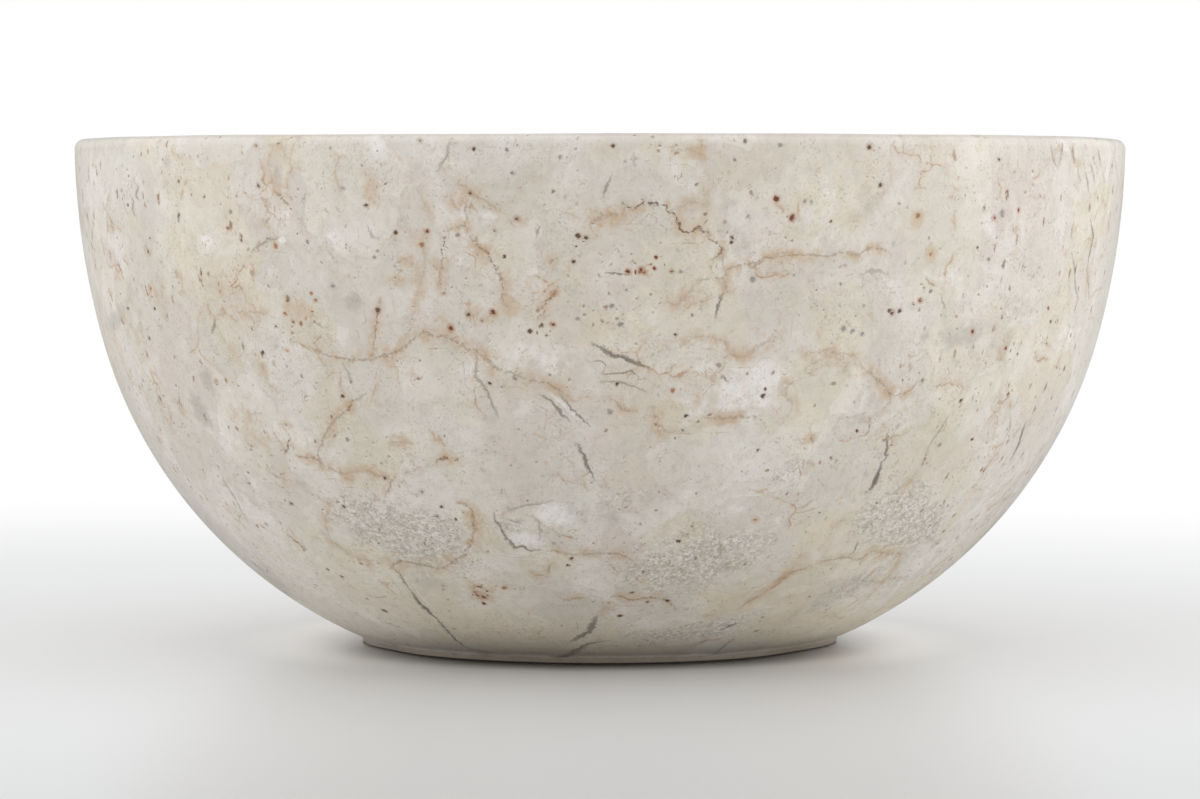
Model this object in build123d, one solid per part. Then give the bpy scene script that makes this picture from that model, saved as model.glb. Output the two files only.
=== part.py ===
"""A turned stone shaving bowl: one piece of cream limestone on a low flat foot.

The frame's origin is the centre of the foot's underside, +Z runs up the bowl's axis, and the
bowl is round about that axis. Lengths are millimetres and angles are degrees.
"""

from build123d import *

import os
from math import cos, radians, sin

# Outside of the bowl
RIM_DIAMETER = 120.0
HEIGHT = 57.7
FOOT_DIAMETER = 54.8
FOOT_STEP = 0.75  # the foot's short upright edge, below the belly
SIDE_ARC_RADIUS = 86.0  # the steep upper wall, upright at the rim
SHOULDER_ANGLE = 15.5  # how far that arc turns before the belly begins

# Hollow of the bowl
RIM_WALL = 8.0  # wall thickness at the rim
FLOOR_THICKNESS = 8.0

# Eased edges
RIM_OUTER_EASE = 1.1
RIM_INNER_EASE = 1.6
FOOT_EASE = 0.3

PARTS_FOLDER = "parts"


def side_arc_point(arc_radius, angle):
    """The point of an upper-wall arc that has turned by an angle from upright at the rim.

    The outer and the inner wall share one centre, which lies in the rim's plane.
    """
    centre_x = RIM_DIAMETER / 2 - SIDE_ARC_RADIUS
    turn = radians(angle)
    return (centre_x + arc_radius * cos(turn), HEIGHT - arc_radius * sin(turn))


def side_arc(arc_radius):
    """The upper wall's arc, from its shoulder up to the rim's plane."""
    shoulder = side_arc_point(arc_radius, SHOULDER_ANGLE)
    middle = side_arc_point(arc_radius, SHOULDER_ANGLE / 2)
    rim = side_arc_point(arc_radius, 0)
    return ThreePointArc(shoulder, middle, rim)


def outer_section():
    """The solid half section: foot, step, belly and upper wall, closed along the axis."""
    shoulder = side_arc_point(SIDE_ARC_RADIUS, SHOULDER_ANGLE)
    foot_edge = (FOOT_DIAMETER / 2, 0)
    step_top = (FOOT_DIAMETER / 2, FOOT_STEP)
    down_the_wall = (-sin(radians(SHOULDER_ANGLE)), -cos(radians(SHOULDER_ANGLE)))
    foot = Line((0, 0), foot_edge)
    step = Line(foot_edge, step_top)
    belly = TangentArc(shoulder, step_top, tangent=down_the_wall)
    side = side_arc(SIDE_ARC_RADIUS)
    top = Line(side_arc_point(SIDE_ARC_RADIUS, 0), (0, HEIGHT))
    axis = Line((0, HEIGHT), (0, 0))
    return make_face([foot, step, belly, side, top, axis])


def hollow_section():
    """The hollow's half section: upper wall, a belly arc tangent to it, and a flat floor."""
    arc_radius = SIDE_ARC_RADIUS - RIM_WALL
    shoulder_x, shoulder_z = side_arc_point(arc_radius, SHOULDER_ANGLE)
    turn = radians(SHOULDER_ANGLE)
    belly_radius = (shoulder_z - FLOOR_THICKNESS) / (1 - sin(turn))
    floor_edge = (shoulder_x - belly_radius * cos(turn), FLOOR_THICKNESS)
    belly = TangentArc((shoulder_x, shoulder_z), floor_edge, tangent=(-sin(turn), -cos(turn)))
    side = side_arc(arc_radius)
    top = Line(side_arc_point(arc_radius, 0), (0, HEIGHT))
    axis = Line((0, HEIGHT), (0, FLOOR_THICKNESS))
    floor = Line((0, FLOOR_THICKNESS), floor_edge)
    return make_face([floor, belly, side, top, axis])


def circle_edges(solid, radius, height):
    """The solid's round edges of a radius that lie at a height."""
    return [
        edge
        for edge in solid.edges().filter_by(GeomType.CIRCLE)
        if abs(edge.radius - radius) < 0.01 and abs(edge.center().Z - height) < 0.01
    ]


def stone_bowl():
    """The bowl as one solid, hollowed and with its rim and foot edges eased."""
    body = revolve(Plane.XZ * outer_section(), Axis.Z)
    body -= revolve(Plane.XZ * hollow_section(), Axis.Z)
    rim_radius = RIM_DIAMETER / 2
    body = fillet(circle_edges(body, rim_radius, HEIGHT), RIM_OUTER_EASE)
    body = fillet(circle_edges(body, rim_radius - RIM_WALL, HEIGHT), RIM_INNER_EASE)
    body = fillet(circle_edges(body, FOOT_DIAMETER / 2, 0), FOOT_EASE)
    return body.solid()


def main():
    """Builds the bowl and writes its STEP file."""
    os.makedirs(PARTS_FOLDER, exist_ok=True)
    bowl = stone_bowl()
    bowl.label = "stone_bowl"
    export_step(bowl, os.path.join(PARTS_FOLDER, "stone_bowl.step"))
    print(f"stone_bowl {bowl.volume / 1000:.1f} cm3, valid {bowl.is_valid}")


main()
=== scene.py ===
"""A turned shaving bowl of cream limestone, dressed for a plain studio.

Lengths are millimetres unless a name says otherwise; the mesh itself is in metres.
"""
import logging
import math
from dataclasses import dataclass, field
from enum import Enum

import bpy
import numpy as np
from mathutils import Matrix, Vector
from mathutils.kdtree import KDTree


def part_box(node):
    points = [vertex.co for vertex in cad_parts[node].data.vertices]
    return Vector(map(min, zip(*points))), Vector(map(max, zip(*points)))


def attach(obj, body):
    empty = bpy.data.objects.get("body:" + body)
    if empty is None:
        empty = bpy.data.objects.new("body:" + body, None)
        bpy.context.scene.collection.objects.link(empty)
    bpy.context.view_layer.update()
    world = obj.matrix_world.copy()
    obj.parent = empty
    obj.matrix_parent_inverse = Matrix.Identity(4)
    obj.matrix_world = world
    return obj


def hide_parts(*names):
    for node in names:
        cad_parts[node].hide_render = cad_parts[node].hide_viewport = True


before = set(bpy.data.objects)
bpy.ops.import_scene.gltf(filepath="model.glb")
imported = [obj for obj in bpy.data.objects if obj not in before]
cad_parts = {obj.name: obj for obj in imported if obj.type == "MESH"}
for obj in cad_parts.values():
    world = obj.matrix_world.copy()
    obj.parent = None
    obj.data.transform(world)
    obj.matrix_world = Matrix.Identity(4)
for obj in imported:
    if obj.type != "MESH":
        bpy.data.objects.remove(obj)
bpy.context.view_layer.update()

MM = 0.001
WHITE = (1.0, 1.0, 1.0, 1.0)
Point = tuple[float, float]


def linear(red: int, green: int, blue: int) -> tuple[float, float, float, float]:
    """Turns a colour written as 0-255 display values into Blender's linear colour.

    Args:
        red: display value of red.
        green: display value of green.
        blue: display value of blue.

    Returns:
        The linear colour with full alpha.
    """
    parts = []
    for value in (red, green, blue):
        share = value / 255
        parts.append(share / 12.92 if share <= 0.04045 else ((share + 0.055) / 1.055) ** 2.4)
    return (*parts, 1.0)


# ---------------------------------------------------------------- the bowl's half section


@dataclass(frozen=True)
class Arc:
    """A round stretch of the half section, with angles in degrees from +r towards +z."""

    centre_r: float
    centre_z: float
    radius: float
    start: float
    end: float

    def at(self, angle: float) -> Point:
        """The arc's point at an angle."""
        turn = math.radians(angle)
        return (self.centre_r + self.radius * math.cos(turn), self.centre_z + self.radius * math.sin(turn))

    def points(self, spacing: float) -> list[Point]:
        """Points along the arc, without its first one.

        Args:
            spacing: the widest step between points.

        Returns:
            The points, ending at the arc's end.
        """
        length = self.radius * math.radians(abs(self.end - self.start))
        steps = max(1, math.ceil(length / spacing))
        return [self.at(self.start + (self.end - self.start) * k / steps) for k in range(1, steps + 1)]


@dataclass
class Section:
    """The bowl's half section, worked out from the frame's box and a few shop sizes."""

    rim_radius: float
    height: float
    foot_radius: float = 27.4
    foot_step: float = 0.75
    foot_ease: float = 0.3
    side_radius: float = 86.0
    shoulder_angle: float = 15.5
    wall: float = 8.0
    floor: float = 8.0
    outer_ease: float = 1.1
    inner_ease: float = 1.6
    outer_row: float = 1.05
    inner_row: float = 2.3
    foot_row: float = 3.0
    step_row: float = 0.25
    foot_ease_row: float = 0.16
    outer_ease_row: float = 0.3
    inner_ease_row: float = 0.4
    rim_row: float = 1.1
    seat_reach: float = 0.06
    arcs: dict[str, Arc] = field(default_factory=dict)

    def __post_init__(self) -> None:
        """Works out the arcs, each tangent to the next as in the CAD."""
        lean = math.radians(self.shoulder_angle)
        foot_ease, outer_ease, inner_ease = self.foot_ease, self.outer_ease, self.inner_ease
        hub = self.rim_radius - self.side_radius
        inner_side = self.side_radius - self.wall
        shoulder_r = hub + self.side_radius * math.cos(lean)
        shoulder = Vector((shoulder_r, self.height - self.side_radius * math.sin(lean)))
        step_top = Vector((self.foot_radius, self.foot_step))
        inwards = Vector((-math.cos(lean), math.sin(lean)))
        gap = shoulder - step_top
        belly = -gap.length_squared / (2 * gap.dot(inwards))
        belly_hub = shoulder + inwards * belly
        foot_turn = math.degrees(math.atan2(step_top.y - belly_hub.y, step_top.x - belly_hub.x))
        outer_r = hub + math.sqrt((self.side_radius - outer_ease) ** 2 - outer_ease**2)
        outer_turn = -math.degrees(math.atan2(outer_ease, outer_r - hub))
        inner_r = hub + math.sqrt((inner_side + inner_ease) ** 2 - inner_ease**2)
        inner_turn = -math.degrees(math.atan2(inner_ease, inner_r - hub))
        low_shoulder = (hub + inner_side * math.cos(lean), self.height - inner_side * math.sin(lean))
        hollow = (low_shoulder[1] - self.floor) / (1 - math.sin(lean))
        hollow_r = low_shoulder[0] - hollow * math.cos(lean)
        self.arcs = {
            "foot ease": Arc(self.foot_radius - foot_ease, foot_ease, foot_ease, -90, 0),
            "belly": Arc(belly_hub.x, belly_hub.y, belly, foot_turn, -self.shoulder_angle),
            "side": Arc(hub, self.height, self.side_radius, -self.shoulder_angle, outer_turn),
            "outer ease": Arc(outer_r, self.height - outer_ease, outer_ease, outer_turn, 90),
            "inner ease": Arc(inner_r, self.height - inner_ease, inner_ease, 90, 180 + inner_turn),
            "inner side": Arc(hub, self.height, inner_side, inner_turn, -self.shoulder_angle),
            "hollow": Arc(hollow_r, self.floor + hollow, hollow, -self.shoulder_angle, -90),
        }

    def straight(self, start: Point, end: Point, spacing: float) -> list[Point]:
        """Points along a straight stretch, without its first one.

        Args:
            start: where it begins.
            end: where it ends.
            spacing: the widest step between points.

        Returns:
            The points, ending at its end.
        """
        steps = max(1, math.ceil(math.dist(start, end) / spacing))
        return [
            (start[0] + (end[0] - start[0]) * k / steps, start[1] + (end[1] - start[1]) * k / steps)
            for k in range(1, steps + 1)
        ]

    def chain(self) -> list[Point]:
        """The half section from the foot's centre, round the rim, to the hollow's centre."""
        arcs = self.arcs
        flat_r = self.foot_radius - self.foot_ease
        step_low, step_high = (self.foot_radius, self.foot_ease), (self.foot_radius, self.foot_step)
        rim_out, rim_in = arcs["outer ease"].centre_r, arcs["inner ease"].centre_r
        points = [(0.0, 0.0)]
        points += self.straight((0, 0), (flat_r, 0), self.foot_row)
        points += arcs["foot ease"].points(self.foot_ease_row)
        points += self.straight(step_low, step_high, self.step_row)
        points += arcs["belly"].points(self.outer_row)
        points += arcs["side"].points(self.outer_row)
        points += arcs["outer ease"].points(self.outer_ease_row)
        points += self.straight((rim_out, self.height), (rim_in, self.height), self.rim_row)
        points += arcs["inner ease"].points(self.inner_ease_row)
        points += arcs["inner side"].points(self.inner_row)
        points += arcs["hollow"].points(self.inner_row)
        points += self.straight((arcs["hollow"].centre_r, self.floor), (0, self.floor), self.inner_row)
        return points

    def radius_on(self, arc: Arc, height: np.ndarray) -> np.ndarray:
        """An arc's distance from the axis at each height."""
        return arc.centre_r + np.sqrt(np.maximum(arc.radius**2 - (height - arc.centre_z) ** 2, 0))

    def outer_radius(self, height: np.ndarray) -> np.ndarray:
        """The outside's radius at each height."""
        belly, side = self.arcs["belly"], self.arcs["side"]
        below = height < side.at(side.start)[1]
        return np.where(below, self.radius_on(belly, height), self.radius_on(side, height))

    def inner_radius(self, height: np.ndarray) -> np.ndarray:
        """The hollow's radius at each height."""
        low, high = self.arcs["hollow"], self.arcs["inner side"]
        below = height < high.at(high.end)[1]
        return np.where(below, self.radius_on(low, height), self.radius_on(high, height))

    def seated(self, across: np.ndarray, up: np.ndarray) -> tuple[np.ndarray, np.ndarray]:
        """Moves half-section points that lie beside an arc exactly onto it.

        Args:
            across: the points' radii.
            up: their heights.

        Returns:
            The new radii and heights.
        """
        best = np.full(across.shape, self.seat_reach)
        new_across, new_up = across.copy(), up.copy()
        for arc in self.arcs.values():
            dr, dz = across - arc.centre_r, up - arc.centre_z
            length = np.hypot(dr, dz)
            angle = np.degrees(np.arctan2(dz, dr))
            low, high = sorted((arc.start, arc.end))
            gap = np.abs(length - arc.radius)
            near = (angle >= low - 0.01) & (angle <= high + 0.01) & (gap < best)
            scale = np.where(near, arc.radius / np.maximum(length, 1e-6), 1)
            new_across = np.where(near, arc.centre_r + dr * scale, new_across)
            new_up = np.where(near, arc.centre_z + dz * scale, new_up)
            best = np.where(near, gap, best)
        return new_across, new_up


# ---------------------------------------------------------------- marks in the stone


class Hue(Enum):
    """A mark's kind of colour: the family that it is painted with, and its place in that family's ramp."""

    TAN = ("warm", 0.0)
    OCHRE = ("warm", 0.3)
    RUST = ("warm", 0.6)
    BROWN = ("warm", 1.0)
    WHITE = ("cool", 0.0)
    GREY = ("cool", 0.35)
    OLIVE = ("cool", 0.6)
    DARK = ("cool", 1.0)


class Cloud(Enum):
    """A soft patch's kind: the layer and channel that hold it."""

    TAN = ("stain", 0)
    WHITE = ("stain", 1)
    GRAIN = ("stain", 2)
    OLIVE = ("stain", 3)
    PINK = ("tone", 0)
    BEIGE = ("tone", 1)
    GREY = ("tone", 2)


@dataclass(frozen=True)
class Line:
    """A vein or crack drawn on the front: half its width, its strength and its points (across, up)."""

    hue: Hue
    half: float
    strength: float
    points: tuple[Point, ...]


@dataclass(frozen=True)
class Patch:
    """A soft oval patch on the front, with its half width and half height."""

    cloud: Cloud
    across: float
    up: float
    wide: float
    tall: float
    strength: float = 1.0


# Heights of the drawn marks start this far below the plane that the foot stands on.
DRAWING_DATUM = 0.3

LINES = (
    # tan and rust veins, upper left
    Line(Hue.OCHRE, 0.25, 0.7, ((-14.7, 53.3), (-13.2, 51.9), (-11.6, 51.1), (-10.4, 50.1))),
    Line(Hue.OCHRE, 0.3, 0.8, ((-13.2, 51.8), (-13.8, 50.5), (-13.7, 48.9), (-14.1, 48.3), (-14.9, 48.2),
         (-15.7, 48))),
    Line(Hue.OCHRE, 0.35, 0.8, ((-13.7, 48.3), (-13, 47), (-12.1, 46.1), (-11.5, 45.7), (-11, 44.6),
         (-10.2, 43.5), (-9.9, 42), (-9.8, 40.7), (-9.3, 40))),
    Line(Hue.BROWN, 0.15, 0.6, ((-13, 47), (-12.1, 46.1), (-11.5, 45.7), (-11, 44.6), (-10.3, 43.6))),
    Line(Hue.TAN, 0.25, 0.7, ((-16.3, 51.4), (-15.2, 51.2), (-14.6, 50.2), (-13.8, 49.8))),
    Line(Hue.TAN, 0.25, 0.5, ((-18.6, 52.4), (-18.3, 51.4), (-17.5, 50.1), (-16.8, 49.4))),
    Line(Hue.OCHRE, 0.25, 0.8, ((-15.8, 47.5), (-16.1, 46.4), (-16.2, 44.6), (-16.4, 43.5), (-16.2, 42),
         (-15.8, 41.6))),
    Line(Hue.BROWN, 0.15, 0.7, ((-15.7, 47.6), (-16, 46.6), (-16.2, 45.4))),
    Line(Hue.TAN, 0.45, 0.6, ((-17.8, 48), (-18.1, 46.4), (-17.9, 44.7), (-18.4, 42.9), (-18.9, 41.2),
         (-19.2, 39.4))),
    Line(Hue.TAN, 0.4, 1, ((-1, 48.4), (-0.8, 49.1), (0.3, 49.3), (2.2, 49.8), (2.5, 50.5))),
    Line(Hue.TAN, 0.2, 0.4, ((-1.3, 49.3), (-0.3, 50.8))),
    # the long vein across the upper middle
    Line(Hue.OCHRE, 0.32, 0.85, ((-30.4, 35.9), (-29, 35.2), (-27.5, 34.8), (-24.9, 34.6), (-23.1, 34.8),
         (-20.7, 35.7), (-19.1, 36.8), (-18, 37.5), (-17, 37.1), (-15.9, 37.1), (-14.8, 36.6),
         (-13.7, 35.9), (-12.6, 35.7), (-11.5, 34.8), (-10.5, 33.7), (-9.3, 33.5), (-7.6, 32.8),
         (-6.3, 32.6), (-5, 32.2), (-4.1, 31.5), (-3.1, 30.8))),
    Line(Hue.TAN, 0.3, 0.7, ((6.7, 56.6), (8, 56.3), (9.3, 56.2), (10.4, 55.6), (10.8, 54.9))),
    Line(Hue.OCHRE, 0.2, 0.6, ((10.1, 57.4), (10.6, 56.3))),
    Line(Hue.TAN, 0.25, 0.4, ((11.1, 54.1), (10.9, 51.5), (10.9, 49.2))),
    # the dark jagged vein right of the middle
    Line(Hue.BROWN, 0.2, 0.9, ((2.3, 51), (2.5, 50.5), (3.1, 50.3), (3.8, 50.4), (4.6, 51), (5.1, 50.9),
         (6, 50.7), (6.7, 50.6), (6.8, 50.1), (7.4, 49.7), (7.9, 49), (8.1, 48.2), (8.6, 47.9), (9.3, 47.9),
         (10, 48.4), (10.6, 47.9), (11, 47.8))),
    Line(Hue.TAN, 0.2, 0.7, ((6.8, 50), (8, 50.4), (9.3, 50.9), (10.6, 50.5))),
    Line(Hue.BROWN, 0.15, 0.7, ((10.6, 48.8), (10.9, 49.2))),
    Line(Hue.BROWN, 0.2, 0.7, ((11, 47.7), (11.5, 47), (12.1, 46.7), (12.4, 46), (11.9, 45.4),
         (11.4, 45.2))),
    Line(Hue.GREY, 0.08, 0.6, ((12.5, 45.5), (12.6, 44.2))),
    Line(Hue.OCHRE, 0.19, 0.85, ((10, 43), (11.3, 43.1), (12.6, 43.5), (13.2, 44), (14.5, 44.5), (16, 44.7),
         (16.7, 45.1), (18, 45.3), (19.3, 45.5), (20.6, 45.5), (21.7, 45.5), (23.2, 45.3), (24.3, 45.6),
         (25.6, 45.8), (26.5, 45.5), (27.8, 46.2), (29, 46.1), (30.1, 45.4))),
    Line(Hue.OCHRE, 0.25, 0.7, ((12.6, 43.5), (12.8, 42.8), (13, 42), (12.4, 41.1))),
    Line(Hue.DARK, 0.17, 0.8, ((12.6, 41.6), (12.3, 41), (12, 40.1), (11.9, 39.2))),
    Line(Hue.TAN, 0.45, 0.8, ((10, 43), (9.4, 42.1), (8.9, 41.4), (8.2, 40.8), (7.6, 40.4), (7, 41),
         (6.8, 41.6))),
    Line(Hue.TAN, 0.2, 0.7, ((5.3, 35.2), (6.5, 35.8), (7.8, 35.9), (8.9, 36.7), (10, 37.1), (11.5, 37),
         (12.6, 36.7), (13.2, 35.5), (13.7, 35.2))),
    Line(Hue.TAN, 0.28, 0.8, ((12.8, 34.9), (13.2, 35.4), (14.5, 35), (15.6, 35.6), (16.7, 36.2),
         (17.6, 37.1), (18.2, 37.7), (18.4, 39.2))),
    Line(Hue.TAN, 0.3, 0.5, ((12.8, 34.9), (12.2, 33.8), (11.5, 32.7), (11.2, 31.6), (10.2, 30.5),
         (10, 29.4))),
    Line(Hue.TAN, 0.35, 0.7, ((5.3, 30.5), (5.6, 29.4), (6, 28), (6.8, 27.3), (7.6, 27), (8.5, 27.2))),
    Line(Hue.OCHRE, 0.2, 0.8, ((0.9, 30.9), (1.6, 30.4), (2.1, 30), (2.8, 29.5), (3.9, 29.5))),
    Line(Hue.TAN, 0.25, 0.7, ((20.7, 36), (21.1, 35.5), (22.2, 35.3), (23.5, 35.6), (24.8, 35.3),
         (26.6, 34.9), (27, 34))),
    Line(Hue.TAN, 0.32, 0.8, ((21, 32.7), (20.4, 32.5), (19.5, 32), (19.3, 30.9), (19.8, 30.2),
         (19.7, 29.1), (19.3, 28.5))),
    Line(Hue.OCHRE, 0.3, 0.8, ((10.4, 28.7), (12.6, 28.6), (13.9, 28.7), (15.9, 28.7), (16.8, 28.3),
         (17.2, 27.6))),
    Line(Hue.OCHRE, 0.3, 0.8, ((27, 34), (28.3, 32.9), (29.9, 31.6), (30.4, 30.7), (30.3, 29.8),
         (29, 28.9))),
    Line(Hue.OCHRE, 0.25, 0.8, ((30.4, 30.7), (31.6, 30.7), (32.2, 30.9), (33.6, 32))),
    # left side
    Line(Hue.OLIVE, 0.13, 0.7, ((-36.3, 45.7), (-35.6, 46.4), (-34.7, 46.9), (-33.3, 47.3))),
    Line(Hue.OLIVE, 0.1, 0.6, ((-34.9, 48.8), (-34.3, 49.3))),
    Line(Hue.BROWN, 0.3, 0.6, ((-33.9, 52), (-33.2, 51.5), (-32.2, 50.6))),
    Line(Hue.TAN, 0.25, 0.6, ((-34, 57), (-34.4, 55), (-34.1, 53.4), (-33.9, 52), (-34.6, 50.2),
         (-35, 48.6), (-33.6, 47.4))),
    Line(Hue.RUST, 0.25, 0.8, ((-42.6, 43.1), (-42.3, 42.4), (-41.9, 41.8))),
    Line(Hue.RUST, 0.22, 0.7, ((-40.2, 42.6), (-40.1, 41.9), (-40, 41.2))),
    Line(Hue.TAN, 0.25, 0.7, ((-38.6, 40.1), (-38.4, 39.4), (-37, 39.3), (-35.4, 39.3), (-34, 38.8))),
    Line(Hue.TAN, 0.22, 0.6, ((-39.2, 35.9), (-38.7, 35), (-37.9, 34))),
    Line(Hue.TAN, 0.22, 0.6, ((-36.6, 35.3), (-35.9, 34.4), (-35.4, 33.3), (-35.4, 32))),
    Line(Hue.OCHRE, 0.25, 0.5, ((-50.8, 34.2), (-49.8, 32.8))),
    Line(Hue.RUST, 0.2, 0.6, ((-52, 45), (-51.6, 44.5), (-51, 43.8))),
    Line(Hue.TAN, 0.3, 0.7, ((-34, 27.9), (-33.1, 26.7), (-32.7, 25.9))),
    Line(Hue.BROWN, 0.2, 0.9, ((-32.8, 26), (-32.9, 25.6), (-33, 25), (-33.3, 24.3))),
    Line(Hue.RUST, 0.25, 0.9, ((-32.1, 24.1), (-31.2, 23.9), (-30, 23.9), (-29.6, 23.3))),
    Line(Hue.OCHRE, 0.28, 0.8, ((-24.2, 31.2), (-25.9, 29.9), (-26.8, 28.9), (-28, 27.9), (-28.7, 26.8),
         (-29.1, 26), (-29.7, 24.6), (-29.4, 23.3), (-28.2, 22.8), (-27, 22), (-26, 21.6))),
    Line(Hue.TAN, 0.32, 0.8, ((-28.7, 23.2), (-27.1, 22.3), (-25, 22.7), (-23.9, 22.5), (-22.6, 22),
         (-21, 21.6))),
    Line(Hue.RUST, 0.25, 0.9, ((-25.6, 30.2), (-26.1, 29.5), (-26.5, 29))),
    Line(Hue.TAN, 0.3, 0.7, ((-35.8, 22.5), (-35.2, 21.9), (-34.2, 21.5), (-32.2, 21.1))),
    Line(Hue.TAN, 0.25, 0.5, ((-33.6, 22.7), (-33.8, 20.9))),
    Line(Hue.BROWN, 0.2, 0.7, ((-34, 15), (-33, 14.3), (-32.1, 13.2))),
    Line(Hue.OCHRE, 0.25, 0.7, ((-30, 15.9), (-29.4, 15), (-28.7, 14.2))),
    Line(Hue.OCHRE, 0.25, 0.7, ((-26.4, 12.6), (-25.2, 12), (-24.3, 12))),
    Line(Hue.TAN, 0.3, 0.8, ((-22, 25.8), (-21, 26), (-19.5, 25.7))),
    Line(Hue.RUST, 0.3, 0.9, ((-17.2, 23.9), (-16.2, 24.4), (-15.2, 24.1), (-14.3, 24.5))),
    Line(Hue.BROWN, 0.2, 0.8, ((-16.6, 24.3), (-15.9, 24.3), (-15.4, 24.2))),
    Line(Hue.TAN, 0.3, 0.8, ((-20.4, 22.4), (-19.5, 23), (-18, 23.4), (-17, 23.4))),
    # lower middle
    Line(Hue.OCHRE, 0.3, 0.8, ((-6.1, 14), (-5.1, 14.3), (-3.2, 13.8), (-1.9, 13.9), (-0.1, 14),
         (2.2, 13.9), (3.3, 13.2), (4, 12.6))),
    Line(Hue.OCHRE, 0.28, 0.8, ((-7.5, 12), (-6.6, 11.4), (-5.5, 11.6), (-5.3, 12.6), (-4.6, 12.8))),
    Line(Hue.OCHRE, 0.28, 0.8, ((-4.5, 8.9), (-3.6, 8.5), (-2.3, 8.8), (-1.2, 8.8))),
    Line(Hue.RUST, 0.25, 0.8, ((0.9, 8.9), (2, 9.1), (3.3, 8.6), (4.8, 8.8), (6.3, 8.7), (7.3, 8.2),
         (8.1, 7.3))),
    Line(Hue.TAN, 0.15, 0.7, ((9.5, 6.4), (11.2, 6.4), (12.6, 6.6))),
    Line(Hue.TAN, 0.25, 0.6, ((0, 6.6), (0.6, 7.7), (1, 8.6))),
    # the lens-shaped clast at the lower right
    Line(Hue.OCHRE, 0.28, 0.8, ((23.6, 12.4), (24.8, 12.6), (26.4, 12.7), (27.9, 12.4), (29.2, 13.3),
         (30, 13.2), (31.4, 12.8), (32.6, 12.7), (32.6, 12), (32.3, 11.6))),
    Line(Hue.OCHRE, 0.28, 0.8, ((23.6, 12.4), (22, 11.7), (20.4, 11.3), (19.5, 10.5), (18.2, 9.4),
         (16.9, 8.6), (15.8, 7.9), (15, 7.2))),
    Line(Hue.RUST, 0.35, 0.8, ((20.6, 11.4), (19.8, 10.9), (18.6, 10.2))),
    Line(Hue.TAN, 0.25, 0.8, ((32.3, 11.6), (31.6, 10), (30.5, 8.6), (29, 7.2), (27.4, 5.9))),
    Line(Hue.TAN, 0.25, 0.6, ((21.4, 14.3), (21.2, 12.8), (20.5, 11.6))),
    Line(Hue.OLIVE, 0.16, 0.5, ((12, 12.8), (12.6, 14), (12.6, 16))),
    Line(Hue.TAN, 0.25, 0.6, ((12.6, 12.1), (14.6, 12.1))),
    Line(Hue.RUST, 0.25, 0.7, ((28.1, 28.4), (28.3, 27.4), (28, 26.7), (27.3, 26.4))),
    Line(Hue.RUST, 0.2, 0.6, ((-4.1, 45.2), (-4.9, 45.1), (-4.9, 44.3))),
    Line(Hue.RUST, 0.22, 0.7, ((-4.4, 42.3), (-4.7, 41.4), (-5.6, 40.8), (-5.8, 39.7), (-6.2, 39.2))),
    # grey cracks and wedges
    Line(Hue.GREY, 0.2, 0.7, ((-15.4, 57.2), (-15.5, 55.9), (-16.6, 54.1))),
    Line(Hue.GREY, 0.13, 0.6, ((-26.7, 34.2), (-26.1, 33.1), (-25.8, 32))),
    Line(Hue.OLIVE, 0.16, 0.7, ((-12.7, 35.5), (-12.7, 33.9), (-12.7, 32.8), (-12.1, 32.2), (-11.4, 31.1),
         (-11, 30), (-10.5, 28.8))),
    Line(Hue.DARK, 0.3, 0.85, ((-0.8, 36.4), (0.5, 35.8), (1.5, 35.2), (2.6, 35), (3.7, 34.5),
         (4.9, 33.9))),
    Line(Hue.DARK, 0.2, 0.7, ((-6.1, 31.1), (-5.3, 30.7), (-4.6, 30), (-4, 29.2), (-3.1, 28.4))),
    Line(Hue.WHITE, 0.4, 0.9, ((-5, 31.2), (-3.5, 30), (-2, 28.5))),
    Line(Hue.DARK, 0.13, 0.8, ((-4.1, 31.2), (-2.7, 29.4), (-1.1, 27.9))),
    Line(Hue.DARK, 0.22, 0.85, ((-2.4, 25.9), (-2, 25.5), (-1.6, 24.2), (-0.6, 22.3))),
    Line(Hue.RUST, 0.16, 0.8, ((-22.6, 41.1), (-22.9, 39.8), (-23.1, 38.1), (-23.4, 36.3), (-23.7, 35))),
    Line(Hue.DARK, 0.12, 0.6, ((-40.7, 38.4), (-40.9, 37.7), (-41.2, 37))),
    Line(Hue.GREY, 0.08, 0.6, ((-30, 38.4), (-28.8, 38))),
    Line(Hue.GREY, 0.08, 0.6, ((-23.9, 48.6), (-23.5, 47.6), (-22.7, 47))),
    Line(Hue.DARK, 0.12, 0.6, ((-6.4, 48.6), (-6.2, 48.3), (-6.5, 47.5))),
    Line(Hue.DARK, 0.12, 0.6, ((1.05, 53.5), (0.7, 52.5), (0.3, 51.5))),
    Line(Hue.GREY, 0.08, 0.6, ((3.5, 55.9), (3.6, 54.6))),
    Line(Hue.DARK, 0.1, 0.8, ((0.65, 43.7), (1.7, 43.6), (2.7, 43.6))),
    Line(Hue.OLIVE, 0.1, 0.7, ((0, 32.5), (1.7, 32.5), (3.3, 32.1), (4.6, 31.4))),
    Line(Hue.GREY, 0.2, 0.6, ((27, 43.4), (28.1, 43.8), (29.6, 43.6))),
    Line(Hue.GREY, 0.09, 0.6, ((35.5, 41.3), (36, 40.4), (36.3, 39.4))),
    Line(Hue.DARK, 0.32, 0.95, ((29.7, 23.3), (29.5, 22.4), (29.1, 21.4), (28.8, 20.7), (28.2, 20.2))),
    Line(Hue.DARK, 0.15, 0.8, ((30.3, 26.6), (30.2, 25), (30.1, 23.9), (29.7, 23.3))),
    Line(Hue.BROWN, 0.25, 0.7, ((34.9, 24.6), (34.6, 23.7), (34.4, 22.9))),
    Line(Hue.TAN, 0.18, 0.7, ((34.4, 22.9), (33.5, 21.8), (32.8, 20.8), (32.2, 19.8))),
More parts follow.
